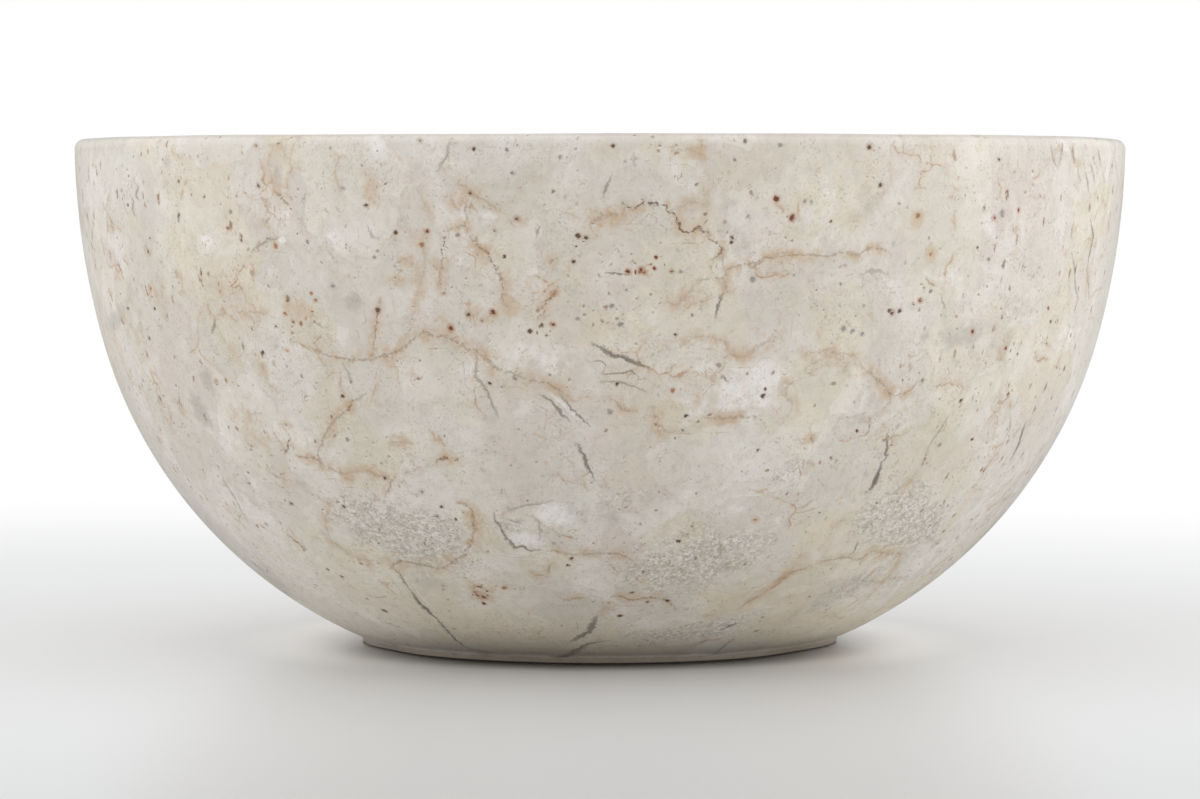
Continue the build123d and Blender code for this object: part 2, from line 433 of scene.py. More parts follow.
    Line(Hue.GREY, 0.1, 0.7, ((34.9, 24.9), (35.6, 26), (36.4, 27.1), (36.9, 28.1))),
    Line(Hue.DARK, 0.22, 0.75, ((46.5, 27), (46.1, 25.8), (45.8, 24.3), (45.3, 23.3), (45, 22.6))),
    Line(Hue.OLIVE, 0.14, 0.6, ((44.3, 27.6), (44.5, 26.6), (44, 25.3))),
    Line(Hue.GREY, 0.13, 0.7, ((51.1, 45.3), (51.6, 43.6), (51.8, 41.8), (52.3, 40.2))),
    Line(Hue.GREY, 0.13, 0.6, ((51.2, 48.5), (51, 47.6), (51.1, 46.8))),
    Line(Hue.GREY, 0.13, 0.6, ((48.2, 57), (48.4, 55.8), (49, 54.6))),
    Line(Hue.GREY, 0.13, 0.6, ((49.3, 57), (49.5, 56), (49.2, 54.8))),
    Line(Hue.OLIVE, 0.13, 0.6, ((53.3, 55), (53.8, 54), (53.9, 52.8))),
    Line(Hue.RUST, 0.2, 0.7, ((56.3, 48.8), (56.4, 48.2), (56.3, 47.6))),
    Line(Hue.GREY, 0.13, 0.7, ((-56.5, 55), (-56.6, 54), (-56.4, 53))),
    Line(Hue.GREY, 0.16, 0.7, ((-56.2, 48), (-56.3, 47.2), (-56.2, 46.5))),
    Line(Hue.BROWN, 0.2, 0.8, ((-45.6, 29.7), (-45.5, 29.2), (-45.2, 28.7))),
    Line(Hue.TAN, 0.2, 0.5, ((-46.4, 29.6), (-45.6, 28.5), (-44.6, 27.4), (-43.4, 26.4))),
    Line(Hue.GREY, 0.13, 0.6, ((-40.9, 20.6), (-39.8, 18.8), (-39, 17), (-38.5, 15.9))),
    # the long dark crack at the lower left, with the pale edge beside it
    Line(Hue.OLIVE, 0.16, 0.8, ((-22.2, 12), (-21.4, 10.9), (-20.8, 9.8), (-20.1, 8.8))),
    Line(Hue.DARK, 0.34, 0.9, ((-20.2, 8.8), (-19.6, 7.8), (-18.9, 7), (-18.2, 6.3), (-17.4, 5.4))),
    Line(Hue.DARK, 0.14, 0.8, ((-17.6, 5.6), (-16.4, 3.9), (-15.5, 2.8), (-14.8, 2.1))),
    Line(Hue.GREY, 0.3, 0.7, ((-15, 2.1), (-13.6, 1.7), (-11.4, 1.4))),
    Line(Hue.WHITE, 0.2, 0.5, ((-20.3, 10.3), (-19.4, 8.7), (-18.3, 7.3), (-17.1, 6))),
    # the jagged grey edge of the clast left of the middle
    Line(Hue.DARK, 0.15, 0.75, ((-11.1, 18.4), (-10.8, 17.4), (-10.3, 16.6), (-10, 15.7), (-9.4, 15.2),
         (-8.9, 14.6), (-8.2, 14.8), (-7.4, 14.3), (-6.3, 14.3))),
    Line(Hue.GREY, 0.14, 0.6, ((-7.5, 18.3), (-6.5, 17.6), (-6.2, 16.4), (-6.4, 15.4))),
    Line(Hue.GREY, 0.2, 0.5, ((-9.9, 17.9), (-9, 17.5), (-8, 17.7))),
    Line(Hue.GREY, 0.09, 0.7, ((-9.7, 18.6), (-7.8, 19.3), (-6.3, 19.5), (-5, 19.8))),
    Line(Hue.DARK, 0.5, 0.8, ((-0.3, 6.6), (-0.8, 5.5), (-1.2, 4.7), (-2.1, 4), (-3.1, 3.4))),
    Line(Hue.GREY, 0.6, 0.8, ((-5.6, 0.8), (-4.6, 1), (-3.4, 1.5), (-2.4, 2.1), (-1.4, 2.8))),
    Line(Hue.DARK, 0.2, 0.7, ((-3.4, 1.8), (-2.4, 2.4), (-1.3, 3), (0, 3.3), (1, 3.5))),
    Line(Hue.DARK, 0.2, 0.8, ((13.2, 4.7), (13.6, 4.8), (14.5, 5.2), (15.2, 5.3))),
    Line(Hue.DARK, 0.13, 0.6, ((10.7, 3), (11.8, 3.2))),
    Line(Hue.DARK, 0.16, 0.6, ((12.8, 1.3), (13.4, 2.1), (14.2, 3))),
    Line(Hue.DARK, 0.14, 0.7, ((27.6, 14.6), (27.3, 13.7), (26.9, 13))),
    Line(Hue.GREY, 0.08, 0.6, ((-25.1, 8.1), (-24, 8), (-23.2, 8.3))),
    Line(Hue.DARK, 0.12, 0.7, ((12.5, 33.1), (12.7, 32.7), (13.1, 32.5))),
    # the rusty rim of the big granular patch
    Line(Hue.OCHRE, 0.42, 0.9, ((-15, 19.5), (-13.6, 18.9), (-13.3, 17), (-13.4, 15.6), (-14.3, 13.8),
         (-15.4, 12.9), (-16.9, 12), (-19.5, 12.4), (-21.2, 12.6), (-22.6, 11.6))),
    Line(Hue.TAN, 0.25, 0.7, ((-22.6, 12), (-24, 12.5), (-26.3, 12.8), (-29, 15), (-29.2, 17.4),
         (-28.4, 19.2))),
    # short dashes on the left flank
    Line(Hue.BROWN, 0.2, 0.8, ((-58.2, 54.9), (-58.1, 54.2))),
    Line(Hue.GREY, 0.2, 0.8, ((-57.8, 52.3), (-57.6, 51.5), (-57.7, 50.8))),
    Line(Hue.OCHRE, 0.25, 0.9, ((-53.9, 48.9), (-53.8, 48.2), (-53.9, 47.6))),
    Line(Hue.RUST, 0.2, 0.8, ((-53.3, 48.8), (-53.1, 48.1), (-52.9, 47.8))),
    Line(Hue.OCHRE, 0.25, 0.9, ((-54.8, 46.7), (-54.6, 45.8), (-54.4, 44.9))),
    Line(Hue.RUST, 0.2, 0.8, ((-53.7, 45.5), (-53.6, 44.5))),
    Line(Hue.RUST, 0.25, 0.9, ((-52.6, 44.4), (-52.3, 43.5), (-51.9, 42.7))),
    Line(Hue.OCHRE, 0.25, 0.8, ((-48.8, 46.6), (-48.6, 45.8), (-48.3, 45.1))),
    Line(Hue.BROWN, 0.15, 0.8, ((-49.1, 42.1), (-48.9, 41.2), (-48.5, 40.3))),
    Line(Hue.RUST, 0.22, 0.8, ((-56, 44.4), (-56.1, 43.4))),
    Line(Hue.OCHRE, 0.22, 0.8, ((-45.2, 43.6), (-45.1, 42.6))),
    Line(Hue.GREY, 0.12, 0.8, ((-50.6, 51.5), (-50.2, 50.8), (-50.4, 50.1), (-50, 49.3))),
    Line(Hue.OLIVE, 0.12, 0.8, ((-49.6, 52.6), (-49.9, 51.8), (-49.5, 51))),
    Line(Hue.BROWN, 0.2, 0.8, ((-54.1, 41.4), (-53.8, 40.3))),
    Line(Hue.BROWN, 0.32, 0.9, ((-52.6, 38.1), (-52.2, 37.4))),
    Line(Hue.OCHRE, 0.2, 0.7, ((-50.1, 37.3), (-49.8, 36.6), (-49.3, 35.9))),
    # upright streaks on the right flank
    Line(Hue.OLIVE, 0.13, 0.8, ((50.9, 57.1), (51, 56.2), (51.2, 55))),
    Line(Hue.TAN, 0.3, 0.9, ((51.3, 55.6), (51.6, 54.4), (52.1, 52.9))),
    Line(Hue.GREY, 0.13, 0.8, ((52.7, 54.1), (53, 53), (53.2, 52))),
    Line(Hue.OLIVE, 0.13, 0.8, ((54.4, 56.6), (54.6, 55.8), (54.8, 55))),
    Line(Hue.OCHRE, 0.22, 0.8, ((55, 55), (55.2, 54), (55.4, 52.9))),
    Line(Hue.OLIVE, 0.14, 0.9, ((53.5, 49), (53.8, 48), (54, 47), (53.6, 45.2), (53.4, 43.6))),
    Line(Hue.OCHRE, 0.25, 0.8, ((53.3, 43.6), (53.7, 41.5), (54, 39.4))),
)

# Small round marks: how far across, how far up, and the radius.
SPOTS = {
    Hue.BROWN: (
        (-44.65, 53.1, 0.3), (-41.7, 51.5, 0.2), (-35.6, 52.6, 0.3), (-37.6, 47.3, 0.3), (-37.6, 46.9, 0.3),
        (-48.6, 45.6, 0.2), (-48.3, 47, 0.15), (-45.3, 47, 0.15), (-48.9, 36.1, 0.3), (-48, 39.4, 0.2),
        (-51.5, 39.3, 0.2), (-51.8, 52.1, 0.2), (-51, 50.6, 0.2), (-34, 37.9, 0.2), (-38, 36.6, 0.18),
        (-35.4, 35.1, 0.25), (-18.4, 57.3, 0.3), (-12.8, 56.4, 0.18), (-4.8, 52, 0.2), (-8.4, 49.2, 0.38),
        (-10.7, 48, 0.2), (-20.9, 47.8, 0.25), (-24, 50.6, 0.3), (-13.2, 51.8, 0.2), (-22.9, 39.8, 0.35),
        (-13.5, 39.4, 0.3), (-12.1, 38.8, 0.2), (-6, 38.3, 0.2), (-5.5, 37.3, 0.2), (-7.2, 37.8, 0.25),
        (-2.7, 44.9, 0.2), (-9.7, 45.3, 0.2), (-2.2, 47.5, 0.25), (-1.4, 47.3, 0.25), (-20.5, 43.9, 0.2),
        (-26.9, 30.7, 0.25), (-11.3, 32.3, 0.2), (1.35, 56.7, 0.25), (7.7, 37.4, 0.2), (23.7, 48.9, 0.22),
        (13.5, 47.3, 0.3), (13.4, 46.8, 0.2), (27.7, 56.6, 0.4), (29, 52.6, 0.3), (14.8, 57.1, 0.25),
        (30.1, 39.6, 0.25), (31.2, 39.6, 0.28), (30.4, 39.4, 0.28), (32.7, 40.3, 0.2), (39.7, 46.1, 0.2),
        (44.8, 34.6, 0.2), (48.4, 39.4, 0.2), (49.7, 37.9, 0.2), (48.8, 37.9, 0.2), (48.4, 36.1, 0.2),
        (48.4, 35.6, 0.2), (51.1, 32.5, 0.2), (50, 32.8, 0.2), (43.9, 30.2, 0.22), (33.9, 32.2, 0.22),
        (38.4, 29.8, 0.3), (39.9, 25.4, 0.2), (38.6, 16.7, 0.25), (37.6, 14.9, 0.25), (40.9, 15.9, 0.2),
        (-33.1, 18.6, 0.3), (-28, 10.3, 0.25), (-29.5, 11, 0.2), (-23.5, 6.3, 0.4), (-22.6, 22, 0.2),
        (-27.2, 18.6, 0.25), (-16.6, 19, 0.25), (-15.1, 17.6, 0.2), (-21.3, 12.7, 0.2), (-12.7, 10, 0.2),
        (-3, 13.4, 0.25), (-3.4, 12.6, 0.2), (3.4, 9.4, 0.28), (5.1, 8.3, 0.25), (7.2, 8.4, 0.25),
        (3.5, 8.5, 0.2), (4.6, 11.8, 0.2), (8.2, 15.3, 0.25), (16.4, 25.2, 0.2), (2.1, 6.6, 0.25),
        (17.1, 31.7, 0.18), (16.8, 30.9, 0.25), (1.75, 32.3, 0.2),
    ),
    Hue.RUST: (
        (2.85, 43.8, 0.32), (4.2, 44, 0.42), (4.55, 43.8, 0.3), (5.5, 44.2, 0.22), (4.9, 43.3, 0.2),
        (5.7, 45.3, 0.2), (7.4, 43.9, 0.22), (18, 51.3, 0.32), (19.7, 49.3, 0.45), (44.4, 50, 0.25),
        (41.6, 49.2, 0.3), (39.4, 37.2, 0.35), (33.4, 40.6, 0.35), (-10.9, 39.6, 0.45), (-15.3, 38, 0.45),
        (-4.8, 38.4, 0.3), (-4.7, 41.6, 0.3), (43.4, 35.3, 0.22), (26.9, 27, 0.2), (-17.7, 47.9, 0.3),
        (-13.4, 9.2, 0.25), (-12.4, 8.6, 0.4), (-12.4, 7.9, 0.3), (42, 55.4, 0.18), (-13, 10, 0.16),
        (-12.6, 10.2, 0.14), (-13.2, 8.9, 0.16), (-12.7, 9, 0.18), (-13.3, 8.2, 0.15), (-12.1, 9.4, 0.14),
        (-13.6, 8.9, 0.14), (-11.9, 8.9, 0.13),
    ),
    Hue.OCHRE: (
        (-35.8, 56.8, 0.25), (-39, 48.1, 0.2), (-33.8, 46.3, 0.4), (-41.4, 43.3, 0.25), (-48.5, 41.6, 0.4),
        (-32.6, 40.6, 0.2), (-29.5, 40.7, 0.32), (-30, 41.4, 0.2), (-32.8, 39.2, 0.25), (-31.2, 38.3, 0.25),
        (-30, 39.1, 0.25), (-32, 38.4, 0.22), (-32.7, 35.3, 0.25), (-33.3, 57, 0.25), (16.3, 17.5, 0.4),
        (-18.2, 46.5, 0.35), (-10.2, 9.9, 0.35), (33, 49.4, 0.4), (34.5, 45.5, 0.4), (22, 26.2, 0.3),
        (7.4, 31.6, 0.3),
    ),
    Hue.GREY: (
        (-38.7, 49.9, 0.3), (-30.3, 46.8, 0.25), (-38.2, 38.4, 0.2), (-9.4, 56.2, 0.2), (-8.9, 53.9, 0.2),
        (-3.6, 51.4, 0.25), (-26.6, 52.3, 0.32), (-27.6, 42.2, 0.4), (-23.2, 45.2, 0.25), (-0.1, 43.4, 0.2),
        (15.7, 43, 0.38), (21, 51, 0.25), (18.4, 56.7, 0.2), (13.7, 55.2, 0.18), (22.9, 44.5, 0.18),
        (24.8, 42.5, 0.18), (19.9, 43.4, 0.2), (27.4, 40.2, 0.2), (31, 50.8, 0.22), (35.6, 46.1, 0.2),
        (42.5, 49.7, 0.5), (41, 44.9, 0.22), (33.8, 42, 0.25), (34.5, 41.6, 0.2), (2.7, 42, 0.2),
        (25.2, 37.8, 0.35), (26.2, 37.6, 0.3), (27.2, 37.2, 0.25), (-17.1, 17.9, 0.3), (-18.6, 20.5, 0.4),
        (1.2, 40.3, 0.3), (2.1, 38.4, 0.28), (-37.8, 20.6, 0.25), (-37.8, 21.8, 0.15),
    ),
    Hue.DARK: (
        (8.9, 28.9, 0.25), (8.5, 27.4, 0.2), (-37.6, 47.2, 0.2),
    ),
}

# Soft patches: how far across, how far up, half width, half height, and a strength where it is not 1.
PATCHES = {
    Cloud.TAN: (
        (-23.3, 52.3, 1.1, 1.6), (-19.7, 44.8, 1.1, 1), (-20.8, 42.9, 1, 0.8), (-18.5, 41.5, 1.2, 1.2, 0.7),
        (-17, 39, 1.2, 1.2, 0.7), (-15, 36.5, 1.6, 1.3, 0.6), (-9, 40.2, 1.5, 1.2, 0.7),
        (-12, 39.2, 1.6, 1, 0.7), (-19.6, 33.2, 0.9, 0.7, 0.7), (10.3, 37.5, 1.1, 0.9, 0.7),
        (8.5, 33.5, 1.3, 0.7, 0.8), (-31.5, 39.5, 2.2, 1.5, 0.8), (-37.5, 27, 2.5, 2.4, 0.7),
        (-12.8, 8.8, 1.7, 1.4, 0.8), (-11.2, 10.9, 1.2, 0.9, 0.5), (-48.2, 31.5, 1.5, 2.2, 0.6),
        (24, 34.3, 3, 1, 0.8), (10, 56, 1, 0.8, 0.9), (33, 49.2, 0.8, 1.3), (34.5, 45.5, 0.9, 0.9),
        (22, 26.2, 0.8, 0.8), (25.3, 16.9, 1.1, 0.8, 0.8), (8.9, 15.9, 0.9, 0.6, 0.9),
        (19.6, 10.8, 1, 0.6, 0.9), (-47.5, 41.5, 2, 3, 0.5), (-22, 30, 1.2, 1, 0.5),
        (30, 31, 1.2, 0.9, 0.7), (43, 35, 1, 1.4, 0.6), (-8.2, 49, 0.9, 0.5, 0.9),
        (12.8, 46.3, 1, 1.2, 0.5),
    ),
    Cloud.OLIVE: (
        (-32, 56, 1.8, 1.6, 0.7), (-2.7, 43.3, 2, 1, 0.7), (-9.5, 46, 2.4, 3.2, 0.6), (-25, 26, 5, 4, 0.7),
        (-42, 38, 7, 6, 0.4), (-30, 22, 8, 5, 0.4), (22, 48, 7, 6, 0.35), (-9, 12, 3, 5, 0.5),
        (40, 30, 8, 8, 0.3), (4, 10, 4, 2.5, 0.5),
    ),
    Cloud.WHITE: (
        (-23, 56.6, 1.3, 1.4), (-11.4, 49.3, 0.8, 0.6), (-33, 46.9, 0.6, 0.5), (-32.6, 49.3, 0.6, 0.5),
        (-41.4, 46.9, 0.8, 0.7), (23.5, 52.5, 0.5, 2), (15.5, 31.8, 3.8, 3, 0.8), (-7.9, 15.8, 1.9, 1.2),
        (-4.6, 18.2, 2.1, 1.5), (18.4, 17.2, 1, 0.4), (-7, 35, 5, 2.2, 0.5), (10, 31, 2, 4, 0.5),
        (36, 43.5, 3, 1.6, 0.5), (8, 52.8, 2, 2.4, 0.4), (-43, 46.5, 4, 2, 0.4), (13.5, 11, 2.6, 1.6, 0.5),
        (-27, 47, 3.5, 2.2, 0.4), (-34.5, 44, 1, 1, 0.6), (36, 11, 6, 8, 0.45), (-39, 19, 4, 6, 0.35),
        (-13.5, 48, 2.2, 4, 0.42), (-13.5, 34.5, 2.2, 2, 0.42), (15, 5.5, 4, 3, 0.45),
    ),
    Cloud.GRAIN: (
        (-21, 16, 7.5, 4.4), (-25.5, 16.5, 3.4, 2.8), (-16.8, 15.6, 3.2, 3.2), (-9.2, 16.9, 1.6, 1.2, 0.9),
        (10, 12.8, 7.5, 4.6), (16, 14.5, 3, 2.4, 0.7), (19.5, 22.5, 2.4, 1.6, 0.7), (2, 20.5, 5, 2, 0.5),
        (10, 4.4, 8, 2.6, 0.8), (-4.4, 27, 3, 3, 0.4), (28, 9.5, 4, 3, 0.5), (24, 34.3, 3.2, 1.2, 0.6),
    ),
    Cloud.GREY: (
        (-25.5, 40.7, 1.3, 1), (-27.2, 44.6, 1, 0.7, 0.8), (-28.3, 46.2, 1, 0.8, 0.7),
        (-42, 32, 1.2, 1.5, 0.9), (-43, 28.4, 1.5, 2), (-31.5, 20.6, 1.1, 1, 0.7),
        (38.6, 36.8, 5.4, 1.3, 0.9), (34.1, 36.8, 0.6, 0.7), (39, 34.6, 2.2, 0.5, 0.7),
        (-19, 10.6, 2.4, 1.6, 0.6), (28.5, 43, 2.4, 1.2, 0.5), (-33.5, 53.4, 0.8, 1.6, 0.7),
        (-46, 53.5, 1, 2.6, 0.5), (26.5, 8.5, 5, 3.4, 0.6), (43, 37.5, 4.5, 4, 0.5),
        (27.5, 29, 3, 2.5, 0.5), (28.5, 50.5, 3, 2.5, 0.5), (13.4, 48, 3, 4, 0.45), (0, 18, 4, 3, 0.5),
    ),
    Cloud.PINK: (
        (-5, 26, 7, 5, 0.8), (6, 22, 9, 4, 0.7), (-9, 21, 5, 3, 0.7), (-20, 52, 8, 5, 0.6),
        (4, 38, 5, 4, 0.4), (24, 20, 8, 5, 0.4), (-46, 56, 8, 5, 0.4), (-3, 55, 5, 3, 0.4),
    ),
    Cloud.BEIGE: (
        (25, 51, 6, 5, 0.7), (-8, 38, 8, 8, 0.3), (-40, 33, 5, 9, 0.4), (33, 26, 6, 7, 0.3),
        (-12.4, 16, 1.4, 4, 0.9), (-12, 9, 3, 3, 0.5), (-12, 4.5, 26, 6),
    ),
}


@dataclass
class Stroke:
    """A line laid on the stone: its run of points in space and what it paints."""

    run: np.ndarray
    hue: Hue
    half: float
    strength: float


@dataclass
class Dot:
    """A spot laid on the stone."""

    place: np.ndarray
    hue: Hue
    radius: float


@dataclass
class Blot:
    """A soft patch laid on the stone, with its own two directions along the surface."""

    place: np.ndarray
    side: np.ndarray
    rise: np.ndarray
    patch: Patch


class Skin(Enum):
    """The face of the bowl that marks are laid on."""

    OUTSIDE = "outside"
    INSIDE = "inside"


@dataclass
class StoneMap:
    """Lays the drawn marks round the outside of the bowl, and again inside it."""

    section: Section
    strokes: list[Stroke] = field(default_factory=list)
    dots: list[Dot] = field(default_factory=list)
    blots: list[Blot] = field(default_factory=list)
    run_step: float = 0.3
    spot_size: float = 0.71
    least_lean: float = 0.5
    inside_start: float = 0.2

    def place(self, across: np.ndarray, up: np.ndarray, skin: Skin, turn: float) -> np.ndarray:
        """Puts drawn points onto the bowl.

        Args:
            across: distances right of the middle, as seen from the front.
            up: heights above the drawing's datum.
            skin: the outside or the inside.
            turn: how far round the bowl from the front, in degrees.

        Returns:
            The points in space.
        """
        height = np.clip(up - DRAWING_DATUM, 0.05, self.section.height - 0.3)
        outer = self.section.outer_radius(height)
        angle = np.arcsin(np.clip(across / outer, -0.999, 0.999)) + math.radians(turn)
        radius = outer
        if skin is Skin.INSIDE:
            low = self.section.floor + self.inside_start
            height = np.maximum(low + height * (self.section.height - low) / self.section.height, low)
            radius = self.section.inner_radius(height)
        return np.stack([radius * np.sin(angle), -radius * np.cos(angle), height], axis=-1)

    def smooth(self, points: tuple[Point, ...]) -> np.ndarray:
        """Rounds a drawn line and sets its points a short step apart.

        Args:
            points: the drawn points.

        Returns:
            The rounded run of (across, up).
        """
        line = np.array(points, float)
        if len(line) > 2:
            ends = np.vstack([2 * line[0] - line[1], line, 2 * line[-1] - line[-2]])
            t = np.linspace(0, 1, 6, endpoint=False)[:, None]
            pieces = []
            for k in range(len(line) - 1):
                a, b, c, d = ends[k : k + 4]
                bend = (2 * a - 5 * b + 4 * c - d) * t**2 + (3 * b - a - 3 * c + d) * t**3
                pieces.append(0.5 * (2 * b + (c - a) * t + bend))
            line = np.vstack([*pieces, line[-1:]])
        length = np.concatenate([[0], np.cumsum(np.linalg.norm(np.diff(line, axis=0), axis=1))])
        steps = np.linspace(0, length[-1], max(3, int(length[-1] / self.run_step) + 1))
        return np.stack([np.interp(steps, length, line[:, k]) for k in range(2)], axis=-1)

    def lay(self, skin: Skin, turn: float) -> None:
        """Lays every drawn mark on one side of the bowl.

        Args:
            skin: the outside or the inside.
            turn: how far round the bowl from the front, in degrees.
        """
        for line in LINES:
            run = self.smooth(line.points)
            half = line.half
            if np.ptp(run[:, 1]) > np.ptp(run[:, 0]):
                aside = min(0.95, abs(float(run[:, 0].mean())) / self.section.rim_radius)
                half = line.half / max(self.least_lean, math.cos(math.asin(aside)))
            placed = self.place(run[:, 0], run[:, 1], skin, turn)
            self.strokes.append(Stroke(placed, line.hue, half, line.strength))
        for hue, spots in SPOTS.items():
            for across, up, radius in spots:
                middle = self.place(np.array(across), np.array(up), skin, turn)
                self.dots.append(Dot(middle, hue, radius * self.spot_size))
        for cloud, patches in PATCHES.items():
            for patch in (Patch(cloud, *sizes) for sizes in patches):
                near = np.array([patch.across, patch.across + 0.5, patch.across])
                rise = np.array([patch.up, patch.up, patch.up + 0.5])
                middle, beside, above = self.place(near, rise, skin, turn)
                sideways, upwards = self.unit(beside - middle), self.unit(above - middle)
                self.blots.append(Blot(middle, sideways, upwards, patch))

    def unit(self, direction: np.ndarray) -> np.ndarray:
        """A direction of length one."""
        return direction / max(float(np.linalg.norm(direction)), 1e-9)

    def samples(self) -> np.ndarray:
        """Every point that the mesh should be finer round."""
        return np.vstack([stroke.run for stroke in self.strokes] + [dot.place[None] for dot in self.dots])


@dataclass
class MarkPainter:
    """Writes the laid marks into the mesh as attributes that the stone's finish reads."""

    stone_map: StoneMap
    layers: int = 4
    spot_layers: int = 3
    reach: float = 1.9
    line_gap: float = 2.2
    spot_reach: float = 1.0
    spot_gap: float = 1.7
    spot_fade: float = 0.35
    end_fade: float = 0.35
    nowhere: float = 9.0

    def sorted_layers(self, marks: list, middles: list[np.ndarray], gap: float) -> list[list]:
        """Shares marks out among layers, so that near ones lie in different layers.

        Args:
            marks: strokes or dots.
            middles: each one's points.
            gap: how near two marks of one layer may come.

        Returns:
            One list of marks for each layer.
        """
        layers: list[list] = [[] for _ in range(self.layers)]
        taken: list[list[tuple]] = [[] for _ in range(self.layers)]
        for mark, points in zip(marks, middles):
            centre = (points.min(0) + points.max(0)) / 2
            spread = float(np.linalg.norm(points - centre, axis=1).max())
            rooms = []
            for others in taken:
                room = math.inf
                for far_points, far_centre, far_spread in others:
                    if math.dist(centre, far_centre) < spread + far_spread + gap:
                        gaps = np.linalg.norm(far_points[None] - points[:, None], axis=-1)
                        room = min(room, float(gaps.min()))
                rooms.append(room)
            chosen = next((k for k, room in enumerate(rooms) if room > gap), int(np.argmax(rooms)))
            layers[chosen].append(mark)
            taken[chosen].append((points, centre, spread))
        return layers

    def line_layer(self, strokes: list[Stroke], places: np.ndarray, normals: np.ndarray) -> np.ndarray:
        """Works out one layer of lines.

        Args:
            strokes: the layer's strokes.
            places: the mesh's points.
            normals: its normals.

        Returns:
            For each point the signed distance from the line, half its width, its strength and its shade.
        """
        layer = np.zeros((len(places), 4), np.float32)
        layer[:, 0] = self.nowhere
        nearest = np.full(len(places), np.inf)
        for stroke in strokes:
            run = stroke.run
            low, high = run.min(0) - self.reach, run.max(0) + self.reach
            near = np.flatnonzero(np.all((places > low) & (places < high), axis=1))
            if not len(near):
                continue
            start, step = run[:-1], np.diff(run, axis=0)
            length = np.linalg.norm(step, axis=1)
            along = np.concatenate([[0], np.cumsum(length)])
            offset = places[near][:, None] - start[None]
            share = np.einsum("ijk,jk->ij", offset, step) / length**2
            held = np.clip(share, 0, 1)
            gap = np.linalg.norm(offset - held[..., None] * step[None], axis=-1)
            best = gap.argmin(axis=1)
            rows = np.arange(len(near))
            raw = share[rows, best]
            before, after = np.where(best == 0, -raw, 0), np.where(best == len(length) - 1, raw - 1, 0)
            past = np.maximum(np.maximum(before, after), 0) * length[best]
            side = np.einsum("ij,ij->i", np.cross(normals[near], step[best]), offset[rows, best])
            span = gap[rows, best]
            flat = np.sqrt(np.maximum(span**2 - past**2, 0))
            run_at = along[best] + held[rows, best] * length[best]
            whole = along[-1]
            end_gap = np.minimum(run_at, whole - run_at)
            taper = np.clip(end_gap / max(0.25, min(1.6, whole * 0.3)), 0, 1)
            wide = stroke.half * (0.45 + 0.55 * taper)
            fade = np.clip((self.reach - span) / (self.reach * 0.35), 0, 1)
            fade *= np.clip(1 - past / self.end_fade, 0, 1)
            win = (span < self.reach) & (span < nearest[near])
            target = near[win]
            nearest[target] = span[win]
            layer[target, 0] = (flat * np.sign(side))[win]
            layer[target, 1] = wide[win]
            layer[target, 2] = (fade * stroke.strength * (0.6 + 0.4 * taper))[win]
            layer[target, 3] = stroke.hue.value[1]
        return layer

    def spot_layer(self, dots: list[Dot], places: np.ndarray) -> np.ndarray:
        """Works out one layer of spots.

        Args:
            dots: the layer's dots.
            places: the mesh's points.

        Returns:
            For each point its two offsets from the spot's middle, the spot's radius and its shade.
        """
        layer = np.zeros((len(places), 4), np.float32)
        layer[:, 0] = self.nowhere
        nearest = np.full(len(places), np.inf)
        for dot in dots:
            near = np.flatnonzero(np.all(np.abs(places - dot.place) < self.spot_reach * 2, axis=1))
            if not len(near):
                continue
            offset = places[near] - dot.place
            span = np.linalg.norm(offset, axis=1)
            turn = math.atan2(dot.place[1], dot.place[0])
            beside = np.array([-math.sin(turn), math.cos(turn), 0.0])
            u = offset @ beside
            v = np.sqrt(np.maximum(span**2 - u**2, 0)) * np.sign(offset[:, 2] + 1e-9)
            win = span < nearest[near]
            target = near[win]
            nearest[target] = span[win]
            fade = np.clip((self.spot_reach - span) / self.spot_fade, 0, 1)
            layer[target, 0] = u[win]
            layer[target, 1] = v[win]
            layer[target, 2] = (dot.radius * fade)[win]
            layer[target, 3] = dot.hue.value[1]
        return layer

    def blot_layers(self, places: np.ndarray) -> dict[str, np.ndarray]:
        """Works out the soft patches.

        Args:
            places: the mesh's points.

        Returns:
            One four-channel layer for each name of a cloud's layer.
        """
        layers = {name: np.zeros((len(places), 4), np.float32) for name in ("stain", "tone")}
        for blot in self.stone_map.blots:
            size = max(blot.patch.wide, blot.patch.tall) * 2
            near = np.flatnonzero(np.all(np.abs(places - blot.place) < size, axis=1))
            if not len(near):
                continue
            offset = places[near] - blot.place
            u = offset @ blot.side / blot.patch.wide
            v = offset @ blot.rise / blot.patch.tall
            weight = blot.patch.strength * np.clip(1.35 - np.hypot(u, v) * 0.85, 0, 1)
            name, channel = blot.patch.cloud.value
            layers[name][near, channel] = np.maximum(layers[name][near, channel], weight)
        for dot in self.stone_map.dots:
            if dot.hue not in (Hue.RUST, Hue.OCHRE):
                continue
            near = np.flatnonzero(np.all(np.abs(places - dot.place) < 2.5, axis=1))
            span = np.linalg.norm(places[near] - dot.place, axis=1)
            weight = 0.75 * np.clip(1.2 - span / (dot.radius * 2.6), 0, 1)
            layers["stain"][near, 0] = np.maximum(layers["stain"][near, 0], weight)
        return layers

